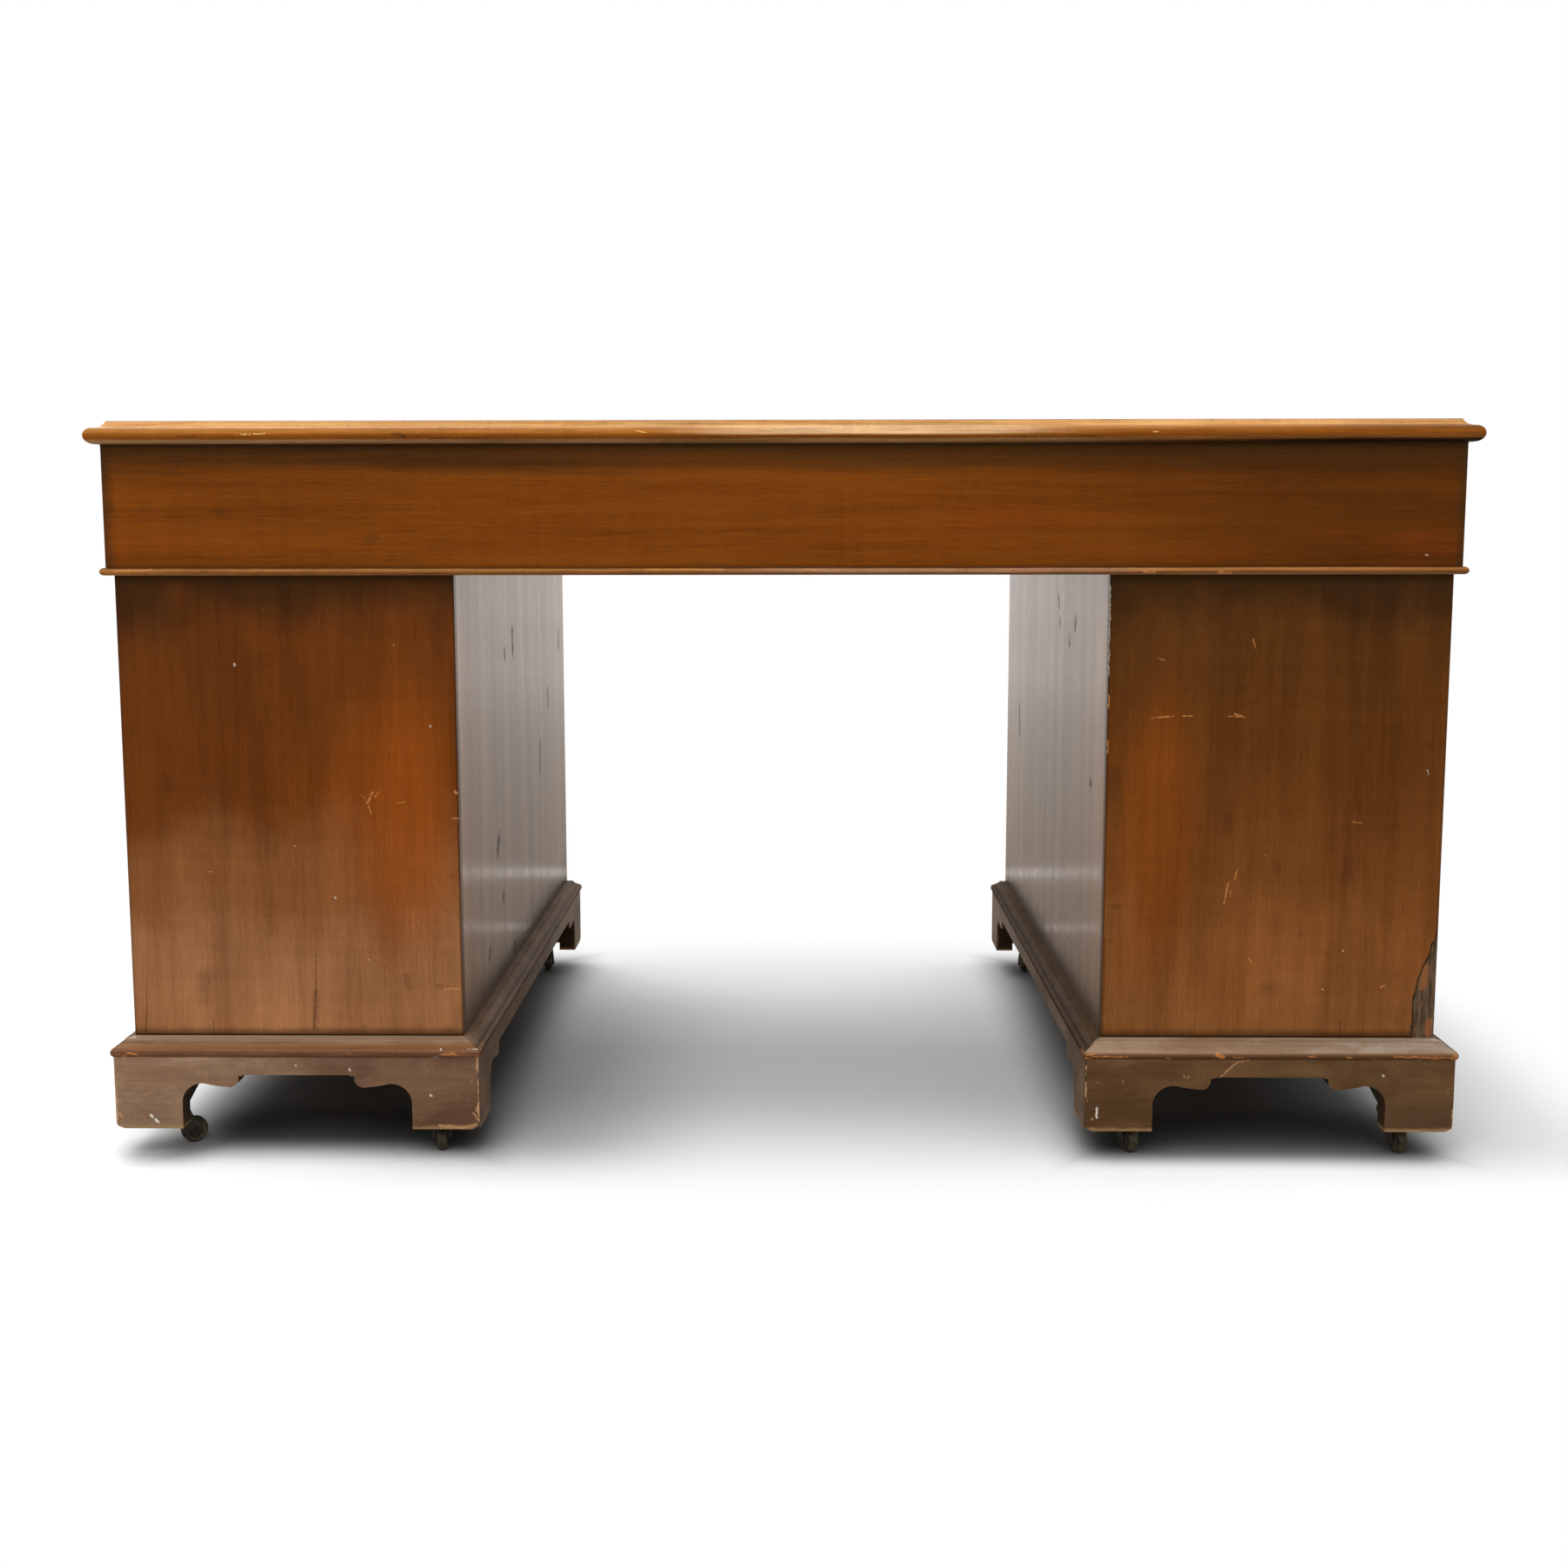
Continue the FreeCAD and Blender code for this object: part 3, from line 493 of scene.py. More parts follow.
def left_panel():
    """Near panel on the left: golden, with a reddish glow right of its middle."""
    return near_panel(
        "left_panel_veneer", 4.1,
        # colours by height: the dark top partly a painted shadow under the frieze, the lighter, pinker low
        # ones a painted reflection of the floor
        stops=[(0.13, (158, 107, 69)), (0.21, (150, 101, 66)), (0.30, (130, 80, 44)),
               (0.40, (102, 51, 14)), (0.54, (98, 49, 14)), (0.625, (56, 31, 12))],
        glow=(-0.405, 0.37, 0.085, 0.20, (138, 68, 18)),
        cracks=[(-499, 222, -500, 185, 0.9), (-500, 185, -504, 140, 1.3), (-683, 195, -684, 160, 0.9),
                (-684, 160, -686, 134, 1.4), (-612, 150, -612, 134, 0.8), (-560, 552, -559, 520, 0.6)],
        scratches=[(-433, 397, -439, 386, 1.9), (-438, 383, -435, 374, 1.1), (-432, 391, -426, 398, 0.9),
                   (-445, 393, -441, 391, 0.9), (-346, 398, -344, 396, 2.2), (-348, 369, -343, 369, 1.8),
                   (-362, 184, -346, 184, 1.5), (-408, 385, -398, 387, 0.8), (-613, 311, -606, 311, 0.9)],
        specks=[(-575, 532, -575, 533, 1.9), (-406, 553, -406, 553, 1.3), (-518, 339, -518, 339, 1.3),
                (-477, 284, -476, 283, 1.5), (-442, 215, -442, 216, 1.2), (-370, 466, -370, 468, 1.3),
                (-543, 590, -543, 590, 1.0), (-600, 260, -600, 260, 1.0), (-388, 258, -388, 259, 1.0)],
        smudges_and_shade=[(-361, 581, -359, 567, 14), (-360, 558, -359, 546, 12), (-620, 196, -621, 172, 15),
                 (-650, 410, -650, 402, 14), (-402, 197, -400, 185, 6), (-370, 187, -358, 186, 4),
                 # the last three smudges are painted shade beside the crack and at the panel's inner foot
                 (-449, 141, -445, 134, 5), (-500, 180, -503, 140, 6), (-342, 165, -346, 138, 14),
                 (-360, 137, -343, 138, 10)])


def right_panel():
    """Near panel on the right: darker, with veneer lost at its outer foot."""
    return near_panel(
        "right_panel_veneer", 6.3,
        # colours by height: the dark top partly a painted shadow under the frieze, the lighter, pinker low
        # ones a painted reflection of the floor
        stops=[(0.13, (134, 84, 44)), (0.22, (130, 78, 38)), (0.33, (110, 63, 26)),
               (0.44, (94, 52, 17)), (0.54, (86, 48, 16)), (0.625, (54, 31, 12))],
        glow=(0.398, 0.36, 0.055, 0.22, (120, 60, 16)),
        cracks=[(345, 240, 345, 132, 1.0), (672, 146, 674, 132, 1.0), (598, 150, 598, 134, 0.8)],
        scratches=[(388, 476, 412, 478, 1.0), (398, 477, 406, 478, 1.9), (421, 478, 431, 478, 1.5),
                   (465, 478, 487, 477, 0.9), (475, 480, 482, 478, 1.8), (483, 314, 481, 304, 1.2),
                   (474, 300, 470, 278, 1.7), (476, 292, 477, 284, 0.9), (393, 539, 401, 536, 1.1),
                   (492, 559, 495, 550, 1.0), (603, 366, 612, 365, 1.1), (498, 219, 502, 214, 1.1),
                   (644, 190, 639, 187, 1.2), (343.5, 500, 343.5, 486, 1.6), (343.5, 452, 343.5, 440, 1.5)],
        specks=[(598, 227, 598, 227, 1.6), (578, 185, 578, 185, 1.8), (342.6, 615, 342.8, 520, 0.8),
                (512, 330, 512, 330, 1.2), (679, 421, 680, 417, 1.2)],
        smudges_and_shade=[(488, 493, 500, 493, 5), (524, 320, 525, 314, 8), (352, 275, 360, 275, 5),
                 (552, 247, 553, 243, 4), (578, 184, 578, 182, 3.5), (560, 166, 560, 164, 3),
                 (350, 420, 350, 390, 10), (518, 186, 526, 185, 14), (600, 325, 601, 305, 13),
                 (471, 372, 472, 358, 11)],
        lost=True)


def side_veneer():
    """Pedestal sides: smoother polish, with upright streaks in its gloss; the kneehole faces pale and
    dusty, partly as a painted reflection, with painted shade just above the moulding.
    """
    s = Shade("side_veneer")
    tone, height = grain(s, "Z", 9.2, lines=0.45, fine=0.7)
    level = waved(s, s.z, (0.05, 0.04, 0.25), 0.10, 4.0)
    s.colour = zones(s, level, (0.13, (128, 80, 42)), (0.24, (114, 67, 31)), (0.40, (100, 54, 19)),
                     (0.54, (92, 48, 16)), (0.625, (58, 33, 14)))
    streaks = s.noise((0.05, 0.045, 1.6), 3.0, 0.6, 0.1, (3, 3, 3))
    light = s.fade(streaks, 0.34, 0.66)
    narrow = s.fade(s.noise((0.02, 0.014, 0.9), 3.0, 0.65, 0.1, (5, 8, 1)), 0.34, 0.66)
    s.dappled(light, (0.82, 0.79, 0.77), (1.15, 1.16, 1.17))
    inner = s.drop(s.off(s.x), 0.350, 0.352)
    # kneehole faces: a pale, dusty colour, brightened partly as a painted reflection of the bright
    # surroundings
    dust_and_reflection = s.mix(light, (98, 65, 42), (138, 102, 72))
    dust_and_reflection = s.mix(narrow, s.tinted(dust_and_reflection, 0.80, 0.79, 0.77), dust_and_reflection)
    # paler towards the top: painted reflection
    dust_and_reflection = s.mix(s.fade(s.z, 0.49, 0.61, 0.0, 0.45), dust_and_reflection, (186, 156, 132))
    dust_and_reflection = s.mix(s.on_right(), dust_and_reflection, s.tinted(dust_and_reflection, 0.74, 0.74, 0.74))
    dust_and_reflection = s.mix(s.drop(s.y, -0.44, -0.15, 0.6), dust_and_reflection, (150, 98, 56))
    s.paint(inner, dust_and_reflection, 0.85)
    stain(s, tone)
    facing = s.fade(s.y, 0.4284, 0.4290)
    s.paint(facing, s.mix(s.fade(tone, 0.2, 0.8), (88, 43, 14), (118, 60, 22)))
    # darker just above the moulding: painted shade, which also dims the gloss
    foot = waved(s, s.z, (0.02, 0.02, 0.04), 0.04, 2.0)
    shade_above_moulding = s.times(s.drop(foot, 0.135, 0.190, 0.95), inner)
    s.paint(shade_above_moulding, (40, 28, 20))
    left_ticks = s.lines([(-64, 548, -62, 521, 17), (247, 444, 250, 424, 15), (-192, 306, -204, 292, 18),
                          (-169, 230, -170, 226, 15), (-86, 150, -88, 144, 15), (-266, 186, -276, 178, 12),
                          (163, 378, 160, 340, 14), (371, 523, 368, 500, 14), (-128, 525, -127, 520, 16)],
                         -KNEEHOLE_HALF, True)
    right_ticks = s.lines([(-220, 567, -217, 561, 17), (-175, 544, -176, 539, 15), (286, 418, 278, 380, 14),
                           (-345, 394, -350, 394, 14), (-83, 590, -88, 580, 14), (-98, 562, -98, 559, 14)],
                          KNEEHOLE_HALF, True)
    broken = s.noise((0.003, 0.008, 0.006), 2.0, 0.6, 0.0, (7, 1, 3))
    tick = s.times(s.most(left_ticks, right_ticks), s.fade(broken, 0.32, 0.46))
    s.paint(tick, SOOT, 0.8)
    height = s.linear(tick, -3.0, height)
    rough = s.linear(s.less(1.0, light), 0.045, s.linear(narrow, 0.035, 0.115))
    rough = s.linear(s.less(1.0, inner), 0.08, rough)
    gloss = s.linear(light, 0.14, s.linear(narrow, 0.16, 0.34))
    gloss = s.sway(gloss, tone, 0.35)
    gloss = s.times(gloss, s.linear(shade_above_moulding, -0.95, 1.0))
    gloss = s.times(gloss, s.linear(s.most(tick, facing), -0.97, 1.0))
    return s.finish(rough, height, 0.00006, IOR=1.38, Specular_IOR_Level=gloss,
                    Specular_Tint=(1.0, 0.84, 0.72, 1.0), Sheen_Weight=0.09,
                    Sheen_Roughness=0.45, Sheen_Tint=(1.0, 0.72, 0.50, 1.0))


def drawer_veneer():
    """Drawer fronts: grain runs along them, and the beads round them are darker."""
    s = Shade("drawer_veneer")
    tone, height = grain(s, "X", 5.2)
    lower = s.sum("LESS_THAN", s.z, 0.626)
    s.colour = s.mix(waved(s, 0.5, (0.2, 0.2, 0.03), 1.4, 6.0), (88, 42, 13), (120, 62, 22))
    bead = s.most(s.within(s.y, 0.4366, 0.4390, 0.0003),
                  s.times(lower, s.within(s.y, 0.4301, 0.4325, 0.0003)))
    s.paint(bead, (62, 31, 14), 0.7)
    stain(s, tone)
    return s.finish(lacquer(s, tone), height, 0.00012, **WARM_GLOSS)


def top_wood():
    """Top board: polished border round the leather, a rubbed cove whose bright gold is mostly a painted
    highlight, and a darker, worn half-round edge with painted light, reflection and shade.
    """
    s = Shade("top_wood")
    place, mitre = mitred_place(s, TOP_HALVES)
    tone, height = grain(s, "X", 7.7, place)
    worn = s.noise((0.12, 0.02, 0.006), 4.0, 0.6, 0.3, (2, 1, 3), place=place)
    share = s.fade(worn, 0.36, 0.64)
    front = s.drop(s.y, -0.43, -0.33)
    level = s.plus(waved(s, s.z, (0.10, 0.02, 0.01), 0.0024, 3.0), s.fade(s.x, 0.15, 0.65, 0.0, -0.0034))
    # pale strip on the nose's underside: a painted reflection of the floor
    lip = s.mix(s.fade(s.x, 0.10, 0.50), (160, 120, 82), (116, 70, 30))
    # the nose lighter towards its top: partly painted light from above
    s.colour = zones(s, level, (0.7632, lip), (0.7664, (118, 63, 14)), (0.7695, (129, 71, 16)),
                     (0.7722, (150, 90, 32)), (0.7748, (164, 107, 50)), (0.7785, (178, 124, 64)))
    # near-black under the nose on the right: painted shadow in the gap under the warped top
    s.paint(s.times(s.fade(s.x, 0.20, 0.60), s.drop(level, 0.7605, 0.7625, 0.95)), (20, 11, 5))
    # the nose's upper half darker towards the right end
    nose_darker_right = s.times(s.fade(s.x, 0.38, 0.58), s.fade(level, 0.7695, 0.7712))
    s.paint(nose_darker_right, (106, 58, 16), 0.55)
    # pale patch on the nose's upper half, in the middle: a painted highlight
    nose_highlight = s.within(waved(s, s.x, (0.1, 0.1, 0.1), 0.1, 6.0), -0.06, 0.26, 0.08)
    s.paint(s.times(nose_highlight, s.within(level, 0.7694, 0.7800, 0.0014)), (220, 180, 136), 0.80)
    s.dappled(share, (0.84, 0.82, 0.78), (1.10, 1.10, 1.10))
    # the ends and back toned darker, without the front's painted light
    s.colour = s.mix(front, s.tinted(s.colour, 0.72, 0.63, 0.56), s.colour)
    # bright gold cove: mostly a painted highlight from above, with rubbed patches
    cove_highlight = s.mix(share, (182, 130, 70), (202, 152, 92))
    cove_highlight = s.mix(s.fade(s.z, 0.7820, 0.7845, 0.0, 0.7), cove_highlight, (196, 150, 112))
    cove_highlight = s.mix(front, s.mix(share, (130, 74, 32), (164, 104, 54)), cove_highlight)
    s.paint(s.fade(s.z, 0.7784, 0.7792), cove_highlight)
    flat = s.fade(s.z, 0.7846, 0.7849)
    border = s.mix(waved(s, 0.5, (0.15, 0.15, 0.15), 0.9, 5.0), (100, 50, 19), (132, 72, 31))
    s.paint(flat, border)
    stain(s, tone)
    joint = s.times(s.drop(s.off(mitre), 0.0002, 0.0008), flat)
    s.paint(joint, SOOT, 0.7)
    s.mark([(-558, 770, -529, 771, 1.1), (-224, 775, -217, 776, 0.9), (-203, 777, -193, 778, 0.9),
            (-188, 776, -179, 775, 0.9), (-157, 776, -138, 771, 1.0), (380, 771, 384, 771, 1.0)],
           TOP_FACE, (240, 196, 120), 0.85)
    s.mark([(-397, 770, -386, 768, 3.6), (-620, 768, -600, 768, 1.4), (-360, 766, -300, 765, 1.6),
            (200, 766, 330, 766, 1.4)], TOP_FACE, (62, 40, 20), 0.75)
    return s.finish(lacquer(s, tone, 0.26), height, 0.00012, **WARM_GLOSS)


def plinth_wood():
    """Plinth boards: scuffed and dusty, worn pale along their lower edges; the left paler than the right,
    partly as painted light from the left, and painted shade on their inner faces.
    """
    s = Shade("plinth_wood")
    place, mitre = mitred_place(s, PLINTH_HALVES, PEDESTAL_X)
    tone, height = grain(s, "X", 2.9, place, 0.08, 0.35, 0.5)
    dirt = s.noise((0.09, 0.05, 0.035), 4.0, 0.62, 0.5, (8, 3, 5), place=place)
    share = s.fade(dirt, 0.36, 0.66)
    # left plinth paler than the right, and palest at the far left: partly dust and partly painted light
    # from the left
    left = s.mix(share, (132, 102, 78), (158, 128, 102))
    fore = s.fade(s.x, -0.66, -0.40)
    left = s.mix(fore, left, s.mix(share, (94, 66, 49), (118, 88, 66)))
    right = s.mix(share, (82, 56, 31), (102, 73, 45))
    s.colour = s.mix(s.on_right(), left, right)
    flank = s.fade(s.y, -0.455, -0.440)
    knee = s.drop(s.off(s.x), 0.330, 0.345)
    outside = s.mix(share, (92, 62, 36), (112, 80, 50))
    s.paint(flank, s.mix(knee, outside, s.mix(share, (86, 62, 42), (122, 94, 68))))
    # inner faces under the pedestals near-black: painted shade
    inside_x = s.drop(s.off(s.off(s.x), PEDESTAL_X), 0.1925, 0.1945)
    inside_y = s.drop(s.off(s.y, MIDDLE_Y), 0.4505, 0.4525)
    s.paint(s.times(inside_x, inside_y), (34, 24, 17), 0.85)
    corner = s.drop(s.off(mitre), 0.0004, 0.0032, s.on_right(0.29, 0.19))
    rubbed = s.noise((0.006, 0.006, 0.014), 3.0, 0.6, 0.3, (9, 2, 1))
    edge = s.fade(s.plus(rubbed, corner), 0.69, 0.77)
    low = s.times(s.drop(s.z, 0.048, 0.088), s.fade(s.off(s.x), 0.595, 0.655))
    low = s.times(low, s.on_right(0.24, 0.50))
    s.paint(low, (58, 41, 26))
    foot = waved(s, s.z, (0.02, 0.02, 0.008), 0.008, 6.0)
    s.paint(s.drop(foot, 0.034, 0.0395, 0.55), (176, 138, 96))
    stain(s, tone)
    joint = s.drop(s.off(mitre), 0.0002, 0.0009, 0.7)
    s.paint(joint, SOOT)
    s.paint(edge, (190, 150, 108), 0.8)
    s.mark([(-367, 38, -340, 36, 3.0), (-340, 36, -326, 40, 2.4), (-712, 50, -709, 47, 3.2),
            (462, 88, 484, 110, 1.4), (484, 110, 497, 112, 1.2), (-330, 52, -325, 44, 2.0)],
           PLINTH_FACE, (196, 150, 102), 0.65)
    s.mark([(-673, 44, -670, 41, 2.6), (-678, 49, -676, 47, 2.2), (-462, 99, -462, 100, 1.8),
            (-376, 72, -375, 71, 2.2), (337, 60, 337, 49, 2.0), (-640, 70, -640, 70, 1.4),
            (-520, 104, -520, 104, 1.4), (640, 96, 640, 95, 1.6)], PLINTH_FACE, DROPS, 0.9)
    return s.finish(lacquer(s, tone, 0.40), height, 0.0002, **DULL_GLOSS)


def moulding_wood():
    """Plinth mouldings: dusty shelf, rubbed cove and a nose worn down to bright wood at its ends."""
    s = Shade("moulding_wood")
    place, mitre = mitred_place(s, PLINTH_HALVES, PEDESTAL_X)
    tone, height = grain(s, "X", 5.9, place, 0.08, 0.5, 0.6)
    dust = s.noise((0.07, 0.03, 0.02), 4.0, 0.62, 0.4, (1, 5, 5), place=place)
    share = s.fade(dust, 0.36, 0.66)
    right = s.on_right()
    shelf = s.mix(s.fade(s.x, -0.56, -0.43), s.mix(share, (100, 74, 50), (122, 94, 70)),
                  s.mix(share, (126, 95, 67), (146, 116, 90)))
    worn_shelf = s.mix(s.fade(s.x, 0.42, 0.68), s.mix(share, (130, 102, 76), (146, 122, 98)),
                       s.mix(share, (138, 116, 96), (156, 138, 122)))
    low = s.mix(share, (98, 62, 41), (114, 78, 55))
    left = zones(s, s.z, (0.1160, low), (0.1198, (104, 65, 40)), (0.1222, (118, 76, 47)),
                 (0.1245, (126, 86, 56)), (0.1275, shelf), (0.1300, (140, 116, 94)))
    dustier = zones(s, s.z, (0.1160, (84, 54, 31)), (0.1182, (98, 67, 43)), (0.1200, (124, 94, 67)),
                    (0.1218, worn_shelf))
    s.colour = s.mix(right, left, dustier)
    flank = s.fade(mitre, -0.001, 0.001)
    flanks = s.mix(share, (80, 54, 32), (112, 82, 54))
    flanks = s.mix(right, flanks, s.mix(share, (54, 38, 22), (76, 54, 34)))
    s.paint(flank, flanks, 0.85)
    grooves = s.most(s.within(s.z, 0.1170, 0.1195, 0.0006), s.within(s.z, 0.1228, 0.1246, 0.0006))
    s.paint(s.times(grooves, flank), SOOT, 0.7)
    wear = s.noise((0.02, 0.02, 0.005), 3.0, 0.6, 0.3, (6, 5, 1), place=place)
    ends = s.drop(s.off(mitre), 0.0, 0.055, 0.16)
    worn = s.times(s.fade(s.plus(wear, ends), 0.64, 0.72), s.drop(s.z, 0.1195, 0.1215))
    s.paint(worn, (184, 116, 62), 0.8)
    stain(s, tone)
    s.paint(s.drop(s.off(mitre), 0.0002, 0.0009, 0.6), SOOT)
    s.mark([(-634, 127, -632, 127, 2.2), (-629, 128, -628, 128, 1.8), (-596, 128, -595, 128, 1.8),
            (-568, 130, -566, 130, 2.0), (-346, 124, -324, 123, 1.6), (-364, 123, -363, 121, 1.8),
            (-374, 115, -366, 114, 1.6)], SHELF_FACE, DROPS, 0.85)
    s.mark([(463, 119, 469, 116, 4.5), (480, 116, 494, 115, 1.3), (560, 117, 566, 118, 1.4),
            (600, 116, 606, 116, 1.4), (330, 117, 368, 116, 1.5), (650, 117, 714, 116, 1.5),
            (-700, 118, -690, 117, 2.0)], NOSE_FACE, (196, 122, 62), 0.9)
    rough = s.linear(flank, 0.12, lacquer(s, tone, 0.36))
    return s.finish(rough, height, 0.00015, **DULL_GLOSS,
                    Specular_IOR_Level=s.linear(flank, s.on_right(-0.3, -0.46), 0.5))


def carcass_wood():
    """Plain secondary wood, faced with mahogany along the edges that show between the drawers."""
    s = Shade("carcass_wood")
    tone, height = grain(s, "X", 3.3)
    dirt = s.noise(0.1, 4.0, 0.6, 0.4, (4, 4, 1))
    s.colour = s.mix(s.fade(dirt, 0.36, 0.68), (104, 72, 44), (138, 100, 64))
    facing = s.fade(s.y, 0.4255, 0.4259)
    s.paint(facing, (106, 53, 19))
    rough = s.linear(facing, -0.2, lacquer(s, tone, 0.5))
    stain(s, tone)
    return s.finish(rough, height, 0.0002, IOR=1.38,
                    Specular_IOR_Level=s.linear(facing, -0.3, 0.5))


def drawer_oak():
    """Oak of the drawer boxes, with pale flecks."""
    s = Shade("drawer_wood")
    tone, height = grain(s, "Y", 6.1)
    flecks = s.noise((0.02, 0.05, 0.006), 2.0, 0.5, 0.2, (3, 1, 8))
    s.colour = s.mix(s.fade(flecks, 0.5, 0.8, 0.0, 0.55), (164, 123, 77), (188, 150, 102))
    stain(s, tone)
    return s.finish(lacquer(s, tone, 0.55), height, 0.0003, IOR=1.4)


def leather():
    """Green hide with a double gilt line and a band of small tooled lozenges."""
    s = Shade("desk_leather")
    pebbles = s.node("ShaderNodeTexVoronoi", {"feature": "DISTANCE_TO_EDGE"}, Vector=s.place, Scale=620.0)
    cell = s.fade(pebbles.outputs[0], 0.0, 0.22)
    patina = s.noise((0.22, 0.16, 0.2), 4.0, 0.6, 0.5, (1, 2, 3))
    s.colour = s.mix(s.fade(patina, 0.30, 0.70), (31, 54, 37), (46, 72, 49))
    s.colour = s.mix(cell, s.tinted(s.colour, 0.62, 0.62, 0.62), s.colour)
    from_side = s.less(LEATHER_HALVES[0], s.off(s.x))
    from_end = s.less(LEATHER_HALVES[1], s.off(s.y, MIDDLE_Y))
    inward = s.sum("MINIMUM", from_side, from_end)
    turned = s.node("ShaderNodeCombineXYZ", X=s.y, Y=s.x, Z=s.z).outputs[0]
    run = s.mix(s.sum("LESS_THAN", from_side, from_end), s.place, turned)
    along_run = s.node("ShaderNodeSeparateXYZ", Vector=run).outputs[0]
    # lozenges repeat every 14 mm in the middle of a band between two lines, with a third line outside
    beat = s.sum("PINGPONG", along_run, 0.007)
    lozenge = s.plus(s.times(beat, 0.75), s.off(inward, 0.0275))
    tooled = s.times(s.drop(lozenge, 0.0036, 0.0044), s.fade(lozenge, 0.0020, 0.0026))
    gilt = tooled
    for low, high in ((0.0200, 0.0212), (0.0338, 0.0350), (0.0062, 0.0069)):
        gilt = s.most(gilt, s.within(inward, low, high, 0.0002))
    rubbed = s.noise(0.02, 4.0, 0.7, 0.3, (6, 2, 2))
    gilt = s.times(gilt, s.fade(rubbed, 0.34, 0.50, 0.35, 1.0))
    s.paint(gilt, (190, 148, 74))
    height = s.linear(gilt, -1.6, cell)
    rough = s.linear(patina, 0.25, 0.30)
    return s.finish(rough, height, 0.00018, IOR=1.42)


def iron(name, rough, low, high):
    """Blackened, slightly greenish cast iron."""
    s = Shade(name)
    crust = s.noise(0.006, 5.0, 0.65, 0.3, (1, 2, 3))
    s.colour = s.mix(s.fade(crust, 0.38, 0.70), low, high)
    grit = s.noise(0.0012, 2.0, 0.6, 0.0, (5, 2, 3))
    return s.finish(s.linear(crust, 0.3, rough - 0.15), s.plus(crust, grit), 0.0003,
                    Metallic=0.25, IOR=1.45)


def polished_knob():
    """Turned mahogany, smoother than the rest."""
    s = Shade("knob_wood")
    tone, height = grain(s, "Y", 8.4)
    s.colour = (86, 40, 16)
    stain(s, tone)
    return s.finish(lacquer(s, tone, 0.20), height, 0.0001, **WARM_GLOSS)


def old_brass():
    """Brass that is tarnished in patches."""
    s = Shade("old_brass")
    tarnish = s.noise(0.004, 4.0, 0.6, 0.3, (2, 2, 5))
    s.colour = s.mix(s.fade(tarnish, 0.42, 0.66), (186, 148, 78), (112, 84, 42))
    return s.finish(s.linear(tarnish, 0.3, 0.16), tarnish, 0.00015, Metallic=1.0)


def keyhole_dark():
    """Painted shade: the dark inside of a lock, seen through its keyhole."""
    s = Shade("keyhole_dark")
    dust = s.noise(0.001)
    s.colour = s.mix(dust, (12, 9, 7), (26, 20, 15))
    return s.finish(0.9)


MATERIALS = {
    "frieze_veneer": frieze_veneer(),
    "pedestal_veneer": side_veneer(),
    "top_wood": top_wood(),
    "plinth_wood": plinth_wood(),
    "carcass_wood": carcass_wood(),
    "drawer_wood": drawer_oak(),
    "desk_leather": leather(),
    "caster_iron": iron("caster_iron", 0.5, (34, 33, 26), (72, 66, 50)),
    "caster_wheel": iron("caster_wheel", 0.42, (40, 38, 28), (84, 74, 54)),
}
OWN_MATERIALS = {
    "frieze_bead": bead_wood(),
    "left_pedestal_near_panel": left_panel(),
    "right_pedestal_near_panel": right_panel(),
    **dict.fromkeys(("left_plinth_moulding", "right_plinth_moulding"), moulding_wood()),
}
DRAWER_FRONT = drawer_veneer()


def dress_cad():
    """Gives each CAD node a material: its own, or that of its slot."""
    for name, obj in nodes.items():
        own = DRAWER_FRONT if name.endswith("_drawer_front") else OWN_MATERIALS.get(name)
        for slot in obj.material_slots:
            slot.material = own or MATERIALS[slot.material.name.split(".")[0]]


# ---- stage
def make_floor():
    """Pale floor that keeps the shadow, darkened further by a painted shadow round the desk, and with
    painted light and shade that only reflections see; further off, the camera sees it as white paper.
    """
    s = Shade("floor")
    path = s.node("ShaderNodeLightPath").outputs
    seen = path["Is Camera Ray"]
    # the floor as reflections see it: dimmer near the desk and paler far off, as painted shade
    far = s.mix(s.fade(s.y, 1.2, 7.0), (0.34, 0.30, 0.265), (0.86, 0.80, 0.74))
    # pale strips seen only in reflections: painted strips of light on the floor, which give the kneehole
    # faces their highlight bands
    painted_light_strips = s.most(s.within(s.y, 1.15, 1.23, 0.02), s.within(s.y, 0.67, 0.71, 0.02))
    mirrored = s.mix(s.times(painted_light_strips, 0.7), far, (0.95, 0.90, 0.86))
    bounced = s.mix(path["Is Glossy Ray"], (0.46, 0.45, 0.44), mirrored)
    # for the camera: the floor's colour times a painted shadow round the desk
    colour = s.mix(seen, bounced, s.scaled((0.98, 0.995, 1.0), contact_shade(s)))
    shader = s.node("ShaderNodeBsdfDiffuse", Color=colour)
    paper = s.node("ShaderNodeEmission", Color=(1, 1, 1, 1), Strength=1.0)
    out_x = s.most(s.less(s.off(s.x), 0.70), 0.0)
    out_y = s.most(s.less(s.off(s.y), 0.42), 0.0)
    white = s.times(s.fade(s.hypot(out_x, out_y), 0.0, 0.38), seen)
    both = s.node("ShaderNodeMixShader", Fac=white)
    s.fill(both.inputs[1:3], shader.outputs[0], paper.outputs[0])
    s.node("ShaderNodeOutputMaterial", Surface=both.outputs[0])
    mesh = bpy.data.meshes.new("floor")
    mesh.from_pydata([(-12, -12, 0), (12, -12, 0), (12, 12, 0), (-12, 12, 0)], [], [(0, 1, 2, 3)])
    mesh.materials.append(s.material)
    floor = bpy.data.objects.new("floor", mesh)
    show(floor)


